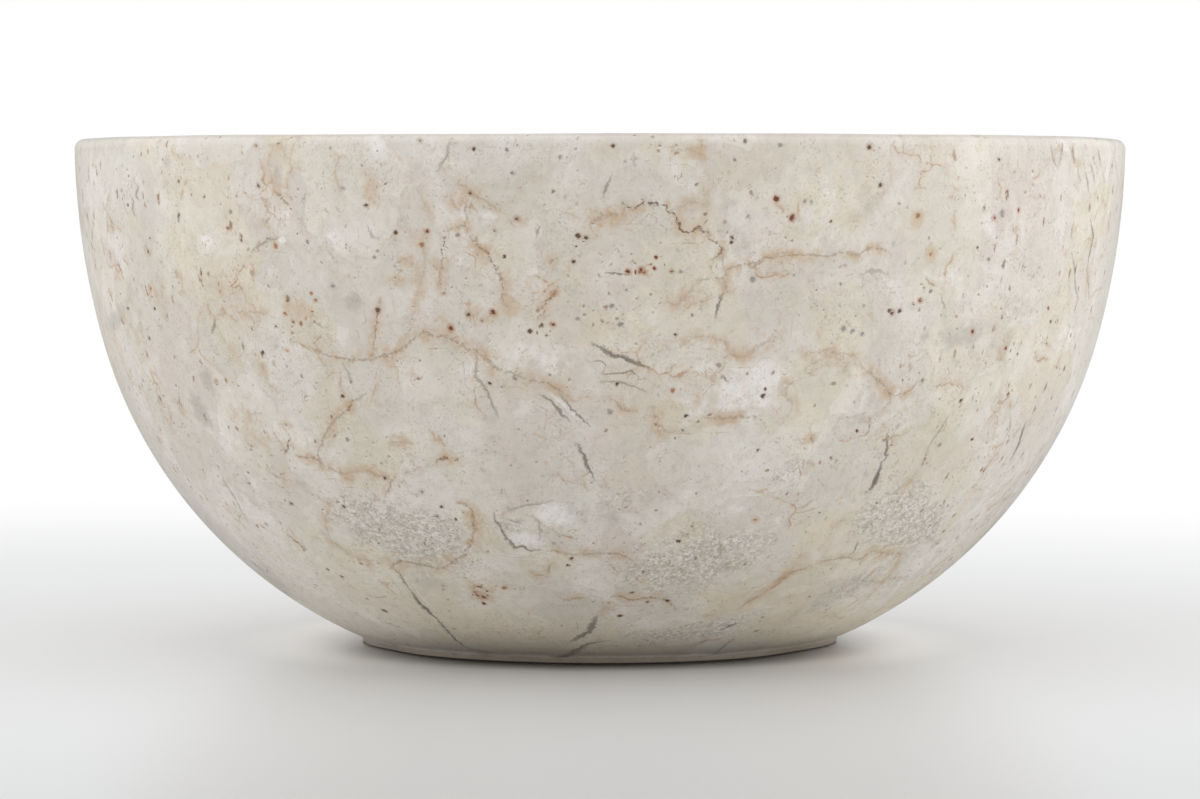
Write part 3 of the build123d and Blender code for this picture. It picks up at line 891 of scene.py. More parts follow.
    def paint(self, mesh: bpy.types.Mesh) -> None:
        """Writes every layer of marks into a mesh.

        Args:
            mesh: the bowl's finished mesh.
        """
        count = len(mesh.vertices)
        places, normals = np.empty(count * 3), np.empty(count * 3)
        mesh.vertices.foreach_get("co", places)
        mesh.vertices.foreach_get("normal", normals)
        places, normals = places.reshape(-1, 3) / MM, normals.reshape(-1, 3)
        for family in ("warm", "cool"):
            strokes = [s for s in self.stone_map.strokes if s.hue.value[0] == family]
            shared = self.sorted_layers(strokes, [s.run for s in strokes], self.line_gap)
            for number, layer in enumerate(shared):
                self.write(mesh, f"{family}_{number}", self.line_layer(layer, places, normals))
            dots = [d for d in self.stone_map.dots if d.hue.value[0] == family]
            shared = self.sorted_layers(dots, [d.place[None] for d in dots], self.spot_gap)
            for number, layer in enumerate(shared[: self.spot_layers]):
                self.write(mesh, f"{family}_spot_{number}", self.spot_layer(layer, places))
        for name, layer in self.blot_layers(places).items():
            self.write(mesh, name, layer)

    def write(self, mesh: bpy.types.Mesh, name: str, values: np.ndarray) -> None:
        """Stores four values for each point of a mesh.

        Args:
            mesh: the mesh.
            name: the attribute's name.
            values: one row of four for each point.
        """
        attribute = mesh.attributes.new(name, "FLOAT_COLOR", "POINT")
        attribute.data.foreach_set("color", values.astype(np.float32).ravel())


# ---------------------------------------------------------------- the bowl's mesh


@dataclass(frozen=True)
class FlatLayout:
    """Where each part of the surface lies on the flat square of the bake layout.

    The outside fills two rows of two quarters, the inside one row of four, and the rim two thin strips.
    """

    gap: float = 0.006
    hub: float = 8.0
    outside_height: float = 0.37
    inside_width: float = 0.2
    inside_low: float = 0.745
    inside_height: float = 0.175
    floor_share: float = 0.24
    floor_end: float = 30.0
    floor_flat: float = 11.0
    foot_middle: Point = (0.9, 0.83)
    foot_size: float = 0.08
    rim_low: float = 0.932
    rim_step: float = 0.034
    rim_height: float = 0.028
    rim_start: float = 52.0
    rim_width: float = 9.0


@dataclass
class StoneBowl:
    """The whole bowl: one turned piece of limestone."""

    section: Section
    stone_map: StoneMap
    round_steps: int = 380
    weld: float = 0.001
    fine_reach: float = 0.95
    finer_reach: float = 0.5
    front_depth: float = 8.0
    rim_drop: float = 0.14
    foot_pull: float = 0.1
    pit_depth: float = 0.09
    smooth_angle: float = 75.0
    piece: bpy.types.Object | None = None

    def turn_on_lathe(self) -> None:
        """Draws the half section point by point and spins it about the axis."""
        bpy.ops.object.select_all(action="DESELECT")
        bpy.ops.mesh.primitive_plane_add(size=MM, location=(0, 0, 0))
        self.piece = bpy.context.object
        self.piece.name = "turned_stone_bowl"
        self.piece.data.name = "turned_stone_bowl"
        bpy.ops.object.mode_set(mode="EDIT")
        bpy.ops.mesh.select_mode(type="VERT")
        bpy.ops.mesh.select_all(action="SELECT")
        bpy.ops.mesh.merge(type="CENTER")
        chain = self.section.chain()
        for before, after in zip(chain, chain[1:]):
            move = ((after[0] - before[0]) * MM, 0, (after[1] - before[1]) * MM)
            bpy.ops.mesh.extrude_region_move(TRANSFORM_OT_translate={"value": move})
        bpy.ops.mesh.select_all(action="SELECT")
        bpy.ops.mesh.spin(steps=self.round_steps, angle=math.tau, center=(0, 0, 0), axis=(0, 0, 1))
        bpy.ops.mesh.select_all(action="SELECT")
        bpy.ops.mesh.remove_doubles(threshold=self.weld * MM)
        bpy.ops.mesh.normals_make_consistent(inside=False)
        bpy.ops.mesh.select_all(action="DESELECT")
        bpy.ops.object.mode_set(mode="OBJECT")

    def places(self) -> np.ndarray:
        """The mesh's points in millimetres."""
        points = np.empty(len(self.piece.data.vertices) * 3)
        self.piece.data.vertices.foreach_get("co", points)
        return points.reshape(-1, 3) / MM

    def centres(self) -> np.ndarray:
        """The faces' middles in millimetres."""
        middles = np.empty(len(self.piece.data.polygons) * 3)
        self.piece.data.polygons.foreach_get("center", middles)
        return middles.reshape(-1, 3) / MM

    def move_to(self, places: np.ndarray) -> None:
        """Moves the mesh's points.

        Args:
            places: their new places in millimetres.
        """
        self.piece.data.vertices.foreach_set("co", (places * MM).ravel())
        self.piece.data.update()

    def refine(self, tree: KDTree, reach: float, wanted: str) -> None:
        """Splits the faces near the drawn marks, so that the marks come out sharp.

        Args:
            tree: the marks' points.
            reach: how near a face has to be.
            wanted: "all" sides, or only the "front".
        """
        mesh = self.piece.data
        centres = self.centres()
        chosen = np.array([tree.find(Vector(c))[2] < reach for c in centres])
        if wanted == "front":
            outer = np.hypot(centres[:, 0], centres[:, 1]) > self.section.inner_radius(centres[:, 2]) + 2
            chosen &= outer & (centres[:, 1] < self.front_depth)
        bpy.ops.object.mode_set(mode="EDIT")
        bpy.ops.mesh.select_mode(type="FACE")
        bpy.ops.mesh.select_all(action="DESELECT")
        bpy.ops.object.mode_set(mode="OBJECT")
        mesh.polygons.foreach_set("select", chosen)
        bpy.ops.object.mode_set(mode="EDIT")
        bpy.ops.mesh.subdivide(number_cuts=1)
        bpy.ops.mesh.select_all(action="DESELECT")
        bpy.ops.object.mode_set(mode="OBJECT")
        self.seat()

    def seat(self) -> None:
        """Puts every point exactly on the half section again."""
        places = self.places()
        radius = np.hypot(places[:, 0], places[:, 1])
        angle = np.arctan2(places[:, 1], places[:, 0])
        across, up = self.section.seated(radius, places[:, 2])
        self.move_to(np.stack([across * np.cos(angle), across * np.sin(angle), up], axis=-1))

    def wear(self) -> None:
        """Gives the rim and the foot the slight unevenness of hand finishing, inwards only."""
        places = self.places()
        angle = np.arctan2(places[:, 1], places[:, 0])
        radius = np.hypot(places[:, 0], places[:, 1])
        wave = 0.5 + 0.24 * np.sin(3 * angle + 0.8) + 0.16 * np.sin(7 * angle + 2.1)
        wave += 0.1 * np.sin(17 * angle)
        high = np.clip((places[:, 2] - self.section.height + 3) / 3, 0, 1) ** 2
        places[:, 2] -= self.rim_drop * wave * high
        pull = self.foot_pull * wave
        for middle, width, depth in ((-34, 15, 1.0), (-150, 9, 0.5), (60, 12, 0.5), (140, 8, 0.4)):
            gap = (np.degrees(angle) - middle + 180) % 360 - 180
            pull = pull + depth * np.exp(-((gap / width) ** 2))
        low = np.clip(1 - places[:, 2] / 2.2, 0, 1) * np.clip((radius - 20) / 6, 0, 1)
        shrink = 1 - pull * low / np.maximum(radius, 1)
        places[:, 0] *= shrink
        places[:, 1] *= shrink
        self.move_to(places)

    def pit(self) -> None:
        """Sinks the spots a little into the stone, as the small pits that they are."""
        mesh = self.piece.data
        normals = np.empty(len(mesh.vertices) * 3)
        mesh.vertices.foreach_get("normal", normals)
        normals = normals.reshape(-1, 3)
        places = self.places()
        sink = np.zeros(len(places))
        for dot in self.stone_map.dots:
            near = np.flatnonzero(np.all(np.abs(places - dot.place) < 1.2, axis=1))
            span = np.linalg.norm(places[near] - dot.place, axis=1)
            depth = self.pit_depth * np.clip(1.4 - span / dot.radius, 0, 1)
            sink[near] = np.maximum(sink[near], depth)
        self.move_to(places - normals * sink[:, None])

    def lay_out(self) -> None:
        """Lays the surface out flat on one square, as the layout for a colour bake."""
        mesh, section, flat = self.piece.data, self.section, FlatLayout()
        corners = np.empty(len(mesh.loops), np.int32)
        mesh.loops.foreach_get("vertex_index", corners)
        totals = np.empty(len(mesh.polygons), np.int32)
        mesh.polygons.foreach_get("loop_total", totals)
        spots, centres = self.places()[corners], np.repeat(self.centres(), totals, axis=0)
        radius, middle_radius = np.hypot(spots[:, 0], spots[:, 1]), np.hypot(centres[:, 0], centres[:, 1])
        middle, angle = np.arctan2(centres[:, 1], centres[:, 0]), np.arctan2(spots[:, 1], spots[:, 0])
        near = middle + (angle - middle + math.pi) % math.tau - math.pi
        angle = np.where(radius < 0.01, middle, near)
        quarter = np.clip(np.floor((middle + math.pi) / (math.pi / 2)), 0, 3)
        share = (angle + math.pi) / (math.pi / 2) - quarter

        lean = np.degrees(np.arctan2(spots[:, 2] - section.height, radius - flat.hub))
        low_lean = math.degrees(math.atan2(-section.height, section.foot_radius - flat.hub))
        rise = np.clip(1 - lean / low_lean, 0, 1)
        across = quarter % 2 * 0.5 + flat.gap + share * (0.5 - 2 * flat.gap)
        up = quarter // 2 * flat.outside_height + flat.gap + rise * (flat.outside_height - 2 * flat.gap)
        uv = np.stack([across, up], axis=-1)

        height = centres[:, 2]
        hollow = section.inner_radius(np.maximum(height, section.floor + 0.01))
        outside = (middle_radius > hollow + 0.5) | (height < section.floor - 0.5)
        foot = height < 0.02
        rim = (height > section.height - 0.9) & (middle_radius > 50)
        rim &= middle_radius < section.arcs["outer ease"].centre_r + 0.3
        inner = ~outside & ~rim
        depth = np.clip((spots[:, 2] - section.floor) / (section.height - section.floor), 0, 1)
        reach = flat.floor_share * np.clip(radius / flat.floor_end, 0, 1)
        reach += (1 - flat.floor_share) * np.where(radius > flat.floor_flat, np.sqrt(depth), 0)
        across = quarter * flat.inside_width + flat.gap / 2 + share * (flat.inside_width - flat.gap)
        uv[inner] = np.stack([across, flat.inside_low + reach * flat.inside_height], axis=-1)[inner]
        uv[foot] = (np.array(flat.foot_middle) + spots[:, :2] / section.foot_radius * flat.foot_size)[foot]
        half = np.floor(quarter / 2)
        across = flat.gap / 2 + ((angle + math.pi) / math.pi - half) * (1 - flat.gap)
        band = np.clip((radius - flat.rim_start) / flat.rim_width, 0, 1)
        up = flat.rim_low + half * flat.rim_step + band * flat.rim_height
        uv[rim] = np.stack([across, up], axis=-1)[rim]
        layer = mesh.uv_layers.new(name="OFBake")
        layer.uv.foreach_set("vector", uv.astype(np.float32).ravel())

    def build(self) -> bpy.types.Object:
        """Makes the bowl's mesh with its marks and its flat layout.

        Returns:
            The finished piece.
        """
        self.turn_on_lathe()
        self.seat()
        samples = self.stone_map.samples()
        tree = KDTree(len(samples))
        for number, sample in enumerate(samples):
            tree.insert(Vector(sample), number)
        tree.balance()
        self.refine(tree, self.fine_reach, "all")
        self.refine(tree, self.finer_reach, "front")
        MarkPainter(self.stone_map).paint(self.piece.data)
        self.pit()
        self.wear()
        self.lay_out()
        bpy.ops.object.select_all(action="DESELECT")
        self.piece.select_set(True)
        bpy.context.view_layer.objects.active = self.piece
        bpy.ops.object.shade_smooth_by_angle(angle=math.radians(self.smooth_angle))
        return self.piece

    def dress(self, finish: "Limestone") -> None:
        """Gives the bowl its stone.

        Args:
            finish: the limestone to wear.
        """
        self.piece.data.materials.clear()
        self.piece.data.materials.append(finish.material())
        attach(self.piece, "root")
        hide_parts("stone_bowl")


# ---------------------------------------------------------------- node work


Socket = bpy.types.NodeSocket
Feed = Socket | float | tuple | None


@dataclass
class Sheet:
    """A node tree being filled in, with short ways to add what a finish needs."""

    tree: bpy.types.NodeTree

    def add(self, kind: str, **settings: object) -> bpy.types.Node:
        """Adds a node.

        Args:
            kind: the node's type.
            settings: properties to set on it.

        Returns:
            The new node.
        """
        node = self.tree.nodes.new(kind)
        for name, value in settings.items():
            setattr(node, name, value)
        return node

    def feed(self, socket: Socket, source: Feed) -> None:
        """Links a socket, or sets its value.

        Args:
            socket: the socket to feed.
            source: another node's output, a constant, or nothing.
        """
        if isinstance(source, bpy.types.NodeSocket):
            self.tree.links.new(source, socket)
        elif source is not None:
            socket.default_value = source

    def math(self, operation: str, first: Feed, second: Feed = None, third: Feed = None) -> Socket:
        """A Math node's result.

        Args:
            operation: the Math node's operation.
            first: the first value.
            second: the second value, if it has one.
            third: the third value, if it has one.

        Returns:
            The result.
        """
        node = self.add("ShaderNodeMath", operation=operation)
        for number, source in enumerate((first, second, third)):
            self.feed(node.inputs[number], source)
        return node.outputs[0]

    def times(self, first: Feed, second: Feed) -> Socket:
        """The product of two values."""
        return self.math("MULTIPLY", first, second)

    def vector(self, operation: str, first: Feed, second: Feed = None, scale: Feed = None) -> Socket:
        """A Vector Math node's result.

        Args:
            operation: the node's operation.
            first: the first vector.
            second: the second vector, if it has one.
            scale: the factor of the Scale operation.

        Returns:
            The result.
        """
        node = self.add("ShaderNodeVectorMath", operation=operation)
        self.feed(node.inputs[0], first)
        self.feed(node.inputs[1], second)
        self.feed(node.inputs[3], scale)
        return node.outputs["Value"] if operation in ("LENGTH", "DOT_PRODUCT") else node.outputs["Vector"]

    def noise(self, place: Feed, scale: Feed, detail: float = 2.0, rough: float = 0.5) -> bpy.types.Node:
        """A noise texture.

        Args:
            place: where it is read.
            scale: its scale.
            detail: its octaves.
            rough: how strong the finer octaves are.

        Returns:
            The texture node.
        """
        node = self.add("ShaderNodeTexNoise", noise_dimensions="3D")
        self.feed(node.inputs["Vector"], place)
        self.feed(node.inputs["Scale"], scale)
        self.feed(node.inputs["Detail"], detail)
        self.feed(node.inputs["Roughness"], rough)
        return node

    def fog(self, place: Feed, scale: Feed, detail: float = 2.0, rough: float = 0.5) -> Socket:
        """A noise texture's grey value."""
        return self.noise(place, scale, detail, rough).outputs["Fac"]

    def attribute(self, name: str) -> bpy.types.Node:
        """A node that reads one of the mesh's attributes."""
        return self.add("ShaderNodeAttribute", attribute_name=name)

    def cells(self, place: Feed, scale: Feed, feature: str = "F1") -> bpy.types.Node:
        """A Voronoi texture.

        Args:
            place: where it is read.
            scale: its scale.
            feature: which of its distances it gives.

        Returns:
            The texture node.
        """
        node = self.add("ShaderNodeTexVoronoi", voronoi_dimensions="3D", feature=feature)
        self.feed(node.inputs["Vector"], place)
        self.feed(node.inputs["Scale"], scale)
        return node

    def range(
        self, value: Feed, low: Feed, high: Feed, to_low: float = 0.0, to_high: float = 1.0
    ) -> Socket:
        """A smooth step between two values.

        Args:
            value: what is measured.
            low: where the step begins.
            high: where it ends.
            to_low: the result at its beginning.
            to_high: the result at its end.

        Returns:
            The result.
        """
        node = self.add("ShaderNodeMapRange", interpolation_type="SMOOTHSTEP")
        sources = {"Value": value, "From Min": low, "From Max": high, "To Min": to_low, "To Max": to_high}
        for name, source in sources.items():
            self.feed(node.inputs[name], source)
        return node.outputs["Result"]

    def blend(self, factor: Feed, below: Feed, above: Feed, mode: str = "MIX") -> Socket:
        """One colour over another.

        Args:
            factor: how much of the upper colour.
            below: the lower colour.
            above: the upper colour.
            mode: how they blend.

        Returns:
            The result.
        """
        node = self.add("ShaderNodeMix", data_type="RGBA", blend_type=mode)
        self.feed(node.inputs[0], factor)
        self.feed(node.inputs[6], below)
        self.feed(node.inputs[7], above)
        return node.outputs[2]

    def ramp(self, value: Feed, stops: tuple[tuple[float, tuple], ...]) -> Socket:
        """A colour ramp.

        Args:
            value: the place in the ramp.
            stops: places and colours.

        Returns:
            The colour.
        """
        node = self.add("ShaderNodeValToRGB")
        ramp = node.color_ramp
        while len(ramp.elements) < len(stops):
            ramp.elements.new(0.5)
        for element, (place, colour) in zip(ramp.elements, stops):
            element.position = place
            element.color = colour
        self.feed(node.inputs[0], value)
        return node.outputs[0]

    def split(self, colour: Feed) -> tuple[Socket, Socket, Socket]:
        """A colour's three parts.

        Args:
            colour: the colour.

        Returns:
            Its red, green and blue.
        """
        node = self.add("ShaderNodeSeparateColor")
        self.feed(node.inputs[0], colour)
        return tuple(node.outputs)

    def use(self, group: bpy.types.NodeTree, **sources: Feed) -> bpy.types.Node:
        """Places a node group.

        Args:
            group: the group.
            sources: what feeds its sockets, with underscores for spaces.

        Returns:
            The group's node.
        """
        node = self.add("ShaderNodeGroup", node_tree=group)
        for name, source in sources.items():
            self.feed(node.inputs[name.replace("_", " ")], source)
        return node


def new_group(
    name: str, takes: dict[str, str], gives: dict[str, str]
) -> tuple[Sheet, dict[str, Socket], bpy.types.Node]:
    """Starts a shader node group.

    Args:
        name: the group's name.
        takes: its inputs and their socket types.
        gives: its outputs and their socket types.

    Returns:
        Its sheet, its inputs by name, and its output node.
    """
    tree = bpy.data.node_groups.new(name, "ShaderNodeTree")
    for label, kind in takes.items():
        tree.interface.new_socket(label, in_out="INPUT", socket_type=f"NodeSocket{kind}")
    for label, kind in gives.items():
        tree.interface.new_socket(label, in_out="OUTPUT", socket_type=f"NodeSocket{kind}")
    sheet = Sheet(tree)
    entry = sheet.add("NodeGroupInput")
    return sheet, {label: entry.outputs[label] for label in takes}, sheet.add("NodeGroupOutput")


@dataclass(frozen=True)
class StoneSpace:
    """The stone's own space in millimetres, plain and bent, and how far a point is from the drawn front."""

    place: Socket
    broad: Socket
    bent: Socket
    ragged: Socket
    beyond: Socket
    height: Socket
    across: Socket
    flank: Socket


@dataclass(frozen=True)
class Limestone:
    """Honed cream limestone: broken clasts healed with tan veins, rust pits and sugary grey patches."""

    cream: tuple = linear(221, 213, 203)
    chalk: tuple = linear(236, 231, 224)
    shell: tuple = linear(216, 205, 195)
    putty: tuple = linear(211, 206, 194)
    straw: tuple = linear(220, 208, 184)
    olive: tuple = linear(214, 207, 186)
    snow: tuple = linear(240, 236, 231)
    tan: tuple = linear(203, 177, 146)
    ash: tuple = linear(188, 181, 171)
    roughness: float = 0.42

    def warp(self) -> bpy.types.NodeTree:
        """The group that bends the stone's space, so that nothing in it runs straight."""
        sheet, takes, out = new_group(
            "Bent place", {"Place": "Vector", "Size": "Float", "Amount": "Float"}, {"Place": "Vector"}
        )
        scale = sheet.math("DIVIDE", 1.0, takes["Size"])
        noise = sheet.noise(takes["Place"], scale, 3.0, 0.55)
        centred = sheet.vector("SUBTRACT", noise.outputs["Color"], (0.5, 0.5, 0.5))
        moved = sheet.vector("SCALE", centred, scale=takes["Amount"])
        sheet.feed(out.inputs["Place"], sheet.vector("ADD", takes["Place"], moved))
        return sheet.tree

    def network(self) -> bpy.types.NodeTree:
        """The group that draws a broken network of healed cracks between clasts."""
        sheet, takes, out = new_group(
            "Healed cracks",
            {"Place": "Vector", "Cell": "Float", "Half width": "Float", "Cover": "Float"},
            {"Core": "Float", "Halo": "Float", "Clast": "Color"},
        )
        scale = sheet.math("DIVIDE", 1.0, takes["Cell"])
        edge = sheet.cells(takes["Place"], scale, "DISTANCE_TO_EDGE")
        clast = sheet.cells(takes["Place"], scale, "F1")
        gap = sheet.times(edge.outputs["Distance"], takes["Cell"])
        patchy = sheet.fog(takes["Place"], sheet.times(scale, 0.9), 2.0)
        limit = sheet.math("SUBTRACT", 1.0, takes["Cover"])
        gate = sheet.range(patchy, limit, sheet.math("ADD", limit, 0.09))
        uneven = sheet.fog(takes["Place"], 1.6, 3.0, 0.6)
        width = sheet.times(takes["Half width"], sheet.range(uneven, 0.36, 0.7, 0.1, 1.7))
        core = sheet.range(gap, sheet.times(width, 0.3), sheet.times(width, 1.3), 1.0, 0.0)
        halo = sheet.range(gap, 0.0, sheet.times(takes["Half width"], 6.0), 1.0, 0.0)
        sheet.feed(out.inputs["Core"], sheet.times(core, gate))
        sheet.feed(out.inputs["Halo"], sheet.times(halo, gate))
        sheet.feed(out.inputs["Clast"], clast.outputs["Color"])
        return sheet.tree

    def line_mask(self) -> bpy.types.NodeTree:
        """The group that turns one layer of laid lines into masks."""
        sheet, takes, out = new_group(
            "Laid line",
            {"Mark": "Color", "Wobble": "Float", "Fray": "Float", "Breaks": "Float", "Core share": "Float"},
            {"Core": "Float", "Halo": "Float"},
        )
        offset, half, strength = sheet.split(takes["Mark"])
        bent = sheet.math("ADD", offset, takes["Wobble"])
        gap = sheet.math("ABSOLUTE", bent)
        thin = sheet.times(sheet.times(half, takes["Core share"]), takes["Breaks"])
        core = sheet.range(gap, sheet.times(thin, 0.4), sheet.math("ADD", thin, 0.05), 1.0, 0.0)
        core = sheet.times(core, sheet.range(takes["Breaks"], 0.12, 0.45))
        frayed = sheet.math("ABSOLUTE", sheet.math("ADD", bent, takes["Fray"]))
        thread = sheet.range(frayed, 0.02, 0.11, 0.6, 0.0)
        thread = sheet.times(thread, sheet.range(takes["Breaks"], 0.6, 1.2))
        far = sheet.math("MULTIPLY_ADD", half, 3.6, 0.5)
        halo = sheet.range(gap, sheet.times(half, 0.4), far, 1.0, 0.0)
        sheet.feed(out.inputs["Core"], sheet.times(sheet.math("MAXIMUM", core, thread), strength))
        sheet.feed(out.inputs["Halo"], sheet.times(halo, strength))
        return sheet.tree

    def spot_mask(self) -> bpy.types.NodeTree:
        """The group that turns one layer of laid spots into masks."""
        sheet, takes, out = new_group(
            "Laid spot", {"Mark": "Color", "Wobble": "Float"}, {"Core": "Float", "Ring": "Float"}
        )
        beside, above, radius = sheet.split(takes["Mark"])
        joined = sheet.add("ShaderNodeCombineXYZ")
        sheet.feed(joined.inputs[0], beside)
        sheet.feed(joined.inputs[1], above)
        span = sheet.math("ADD", sheet.vector("LENGTH", joined.outputs[0]), takes["Wobble"])
        core = sheet.range(span, sheet.times(radius, 0.5), sheet.times(radius, 0.95), 1.0, 0.0)
        ring = sheet.range(span, sheet.times(radius, 0.6), sheet.times(radius, 2.5), 1.0, 0.0)
        there = sheet.math("GREATER_THAN", radius, 0.04)
        sheet.feed(out.inputs["Core"], sheet.times(core, there))
        sheet.feed(out.inputs["Ring"], sheet.times(ring, there))
        return sheet.tree

    def sugar(self) -> bpy.types.NodeTree:
        """The group that draws the sugary crystals of the granular patches."""
        sheet, takes, out = new_group(
            "Sugar crystals", {"Place": "Vector"}, {"Bright": "Float", "Height": "Float"}
        )
        coarse = sheet.fog(takes["Place"], 1.5, 2.0, 0.5)
        fine = sheet.fog(takes["Place"], 3.6, 3.0, 0.7)
        mixed = sheet.math("MULTIPLY_ADD", coarse, 0.4, sheet.times(fine, 0.6))
        sheet.feed(out.inputs["Bright"], sheet.range(mixed, 0.36, 0.64))
        sheet.feed(out.inputs["Height"], mixed)
        return sheet.tree

    def speckle(self) -> bpy.types.NodeTree:
        """The group that scatters small specks, each with its own size and shade."""
        sheet, takes, out = new_group(
            "Specks",
            {"Place": "Vector", "Cell": "Float", "Share": "Float", "Radius": "Float"},
            {"Mask": "Float", "Shade": "Float"},
        )
        cells = sheet.cells(takes["Place"], sheet.math("DIVIDE", 1.0, takes["Cell"]))
        choice, size, shade = sheet.split(cells.outputs["Color"])
        radius = sheet.times(takes["Radius"], sheet.math("MULTIPLY_ADD", size, 0.8, 0.4))
        gap = sheet.times(cells.outputs["Distance"], takes["Cell"])
        mask = sheet.range(gap, sheet.times(radius, 0.4), radius, 1.0, 0.0)
        sheet.feed(out.inputs["Mask"], sheet.times(mask, sheet.math("LESS_THAN", choice, takes["Share"])))
        sheet.feed(out.inputs["Shade"], shade)
        return sheet.tree

    def space(self, sheet: Sheet) -> StoneSpace:
        """Sets up the stone's space.

        Args:
            sheet: the material's nodes.

        Returns:
            The plain and the bent places.
        """
        warp = self.warp()
        metres = sheet.add("ShaderNodeTexCoord").outputs["Object"]
        place = sheet.vector("SCALE", metres, scale=1 / MM)
        broad = sheet.use(warp, Place=place, Size=9.0, Amount=7.0).outputs[0]
        bent = sheet.use(warp, Place=broad, Size=1.6, Amount=1.1).outputs[0]
        ragged = sheet.use(warp, Place=place, Size=1.1, Amount=1.0).outputs[0]
        parts = sheet.add("ShaderNodeSeparateXYZ")
        sheet.feed(parts.inputs[0], place)
        beyond = sheet.range(parts.outputs[1], -28.0, 4.0)
        flat = sheet.vector("LENGTH", sheet.vector("MULTIPLY", place, (1.0, 1.0, 0.0)))
        flank = sheet.range(sheet.math("ABSOLUTE", parts.outputs[0]), 24.0, 42.0)
        return StoneSpace(place, broad, bent, ragged, beyond, parts.outputs[2], flat, flank)

    def ground(self, sheet: Sheet, space: StoneSpace) -> Socket:
        """Colours the stone itself: clasts of two sizes, clouds, mottling and fine pores.

        Args:
            sheet: the material's nodes.
            space: the stone's space.

        Returns:
            The colour.
        """
        network = self.network()
        large = sheet.use(network, Place=space.bent, Cell=13.0, Half_width=0.2, Cover=0.47)
        small = sheet.use(network, Place=space.bent, Cell=5.2, Half_width=0.12, Cover=0.45)
        putty, cream, shell, straw, chalk = self.putty, self.cream, self.shell, self.straw, self.chalk
        broad = ((0.0, putty), (0.3, cream), (0.55, shell), (0.75, straw), (1.0, chalk))
        fine = ((0.0, shell), (0.35, cream), (0.6, putty), (0.85, chalk), (1.0, straw))
        colour = sheet.ramp(sheet.split(large.outputs["Clast"])[0], broad)
        flecked = sheet.ramp(sheet.split(small.outputs["Clast"])[1], fine)
        colour = sheet.blend(0.45, colour, flecked)
        cloud = sheet.fog(space.broad, 0.16, 4.0, 0.6)
        colour = sheet.blend(sheet.range(cloud, 0.45, 0.68, 0.0, 0.52), colour, self.chalk)
        colour = sheet.blend(sheet.range(cloud, 0.5, 0.28, 0.0, 0.42), colour, self.putty)
        rusts = ((0.35, linear(196, 178, 154)), (0.5, linear(192, 158, 122)), (0.65, linear(164, 116, 80)))
        vein = sheet.ramp(sheet.fog(space.place, 0.22, 2.0), rusts)
        wide = sheet.math("MULTIPLY_ADD", space.beyond, 0.75, 0.25)
        colour = sheet.blend(sheet.times(sheet.times(large.outputs["Halo"], wide), 0.3), colour, self.tan)
        colour = sheet.blend(sheet.times(sheet.times(large.outputs["Core"], wide), 0.5), colour, vein)
        colour = sheet.blend(sheet.times(small.outputs["Halo"], 0.28), colour, self.tan)
        colour = sheet.blend(sheet.times(small.outputs["Core"], 0.6), colour, vein)
        return colour

    def texture(self, sheet: Sheet, space: StoneSpace, colour: Socket) -> Socket:
        """Breaks the stone's colour up with mottling, pores and faint tan freckles.

        Args:
            sheet: the material's nodes.
            space: the stone's space.
            colour: the colour so far.

        Returns:
            The broken-up colour.
        """
        mottle = sheet.fog(space.bent, 0.75, 4.0, 0.62)
        shades = ((0.25, (0.9, 0.895, 0.885, 1.0)), (0.5, WHITE), (0.75, (1.05, 1.05, 1.052, 1.0)))
        colour = sheet.blend(1.0, colour, sheet.ramp(mottle, shades), "MULTIPLY")
        freckle = sheet.fog(space.ragged, 1.15, 4.0, 0.7)
        colour = sheet.blend(sheet.range(freckle, 0.6, 0.7, 0.0, 0.55), colour, self.tan)
        pore = sheet.fog(space.place, 3.6, 3.0, 0.75)
        rough = sheet.range(sheet.fog(space.broad, 0.17, 2.0), 0.42, 0.6, 0.4, 1.0)
        shades = ((0.28, (0.72, 0.705, 0.68, 1.0)), (0.44, WHITE), (0.7, (1.08, 1.08, 1.08, 1.0)))
        pored = sheet.blend(1.0, colour, sheet.ramp(pore, shades), "MULTIPLY")
        return sheet.blend(rough, colour, pored)

    def clouded(self, sheet: Sheet, space: StoneSpace, colour: Socket) -> tuple[Socket, Socket, Socket]:
        """Lays the soft patches: stains, chalky and grey ones, and the sugary grain.

        Args:
            sheet: the material's nodes.
            space: the stone's space.
            colour: the colour so far.

        Returns:
            The colour with the patches, the grain's mask and the grain's relief.
        """
        tone = sheet.attribute("tone")
        stain = sheet.attribute("stain")
        pink, beige, grey = sheet.split(tone.outputs["Color"])
        tan, white, grain = sheet.split(stain.outputs["Color"])
        ragged = sheet.fog(space.place, 0.5, 5.0, 0.68)
        edge = sheet.times(sheet.math("SUBTRACT", ragged, 0.5), 2.0)
        masks = []
        for channel in (pink, beige, stain.outputs["Alpha"], white, grey, grain, tan):
            there = sheet.range(channel, 0.0, 0.25)
            masks.append(sheet.range(sheet.math("MULTIPLY_ADD", edge, there, channel), 0.2, 0.9))
        washes = ((masks[0], 0.6, self.shell), (masks[1], 0.55, self.straw), (masks[2], 0.6, self.olive),
                  (masks[3], 0.9, self.snow), (masks[4], 0.65, self.ash), (masks[6], 0.55, self.tan))
        for mask, strength, wash in washes:
            colour = sheet.blend(sheet.times(mask, strength), colour, wash)
        sugar = sheet.use(self.sugar(), Place=space.ragged)
        wild = sheet.fog(space.broad, 0.07, 2.0)
        wild = sheet.times(sheet.range(wild, 0.6, 0.68, 0.0, 0.7), space.beyond)
        grainy = sheet.math("MAXIMUM", masks[5], wild)
        grains = ((0.0, linear(166, 157, 143)), (0.3, linear(196, 188, 176)), (0.65, linear(214, 208, 198)),
                  (0.85, linear(234, 230, 224)))
        crystals = sheet.ramp(sugar.outputs["Bright"], grains)
        colour = sheet.blend(sheet.times(grainy, 0.75), colour, crystals)
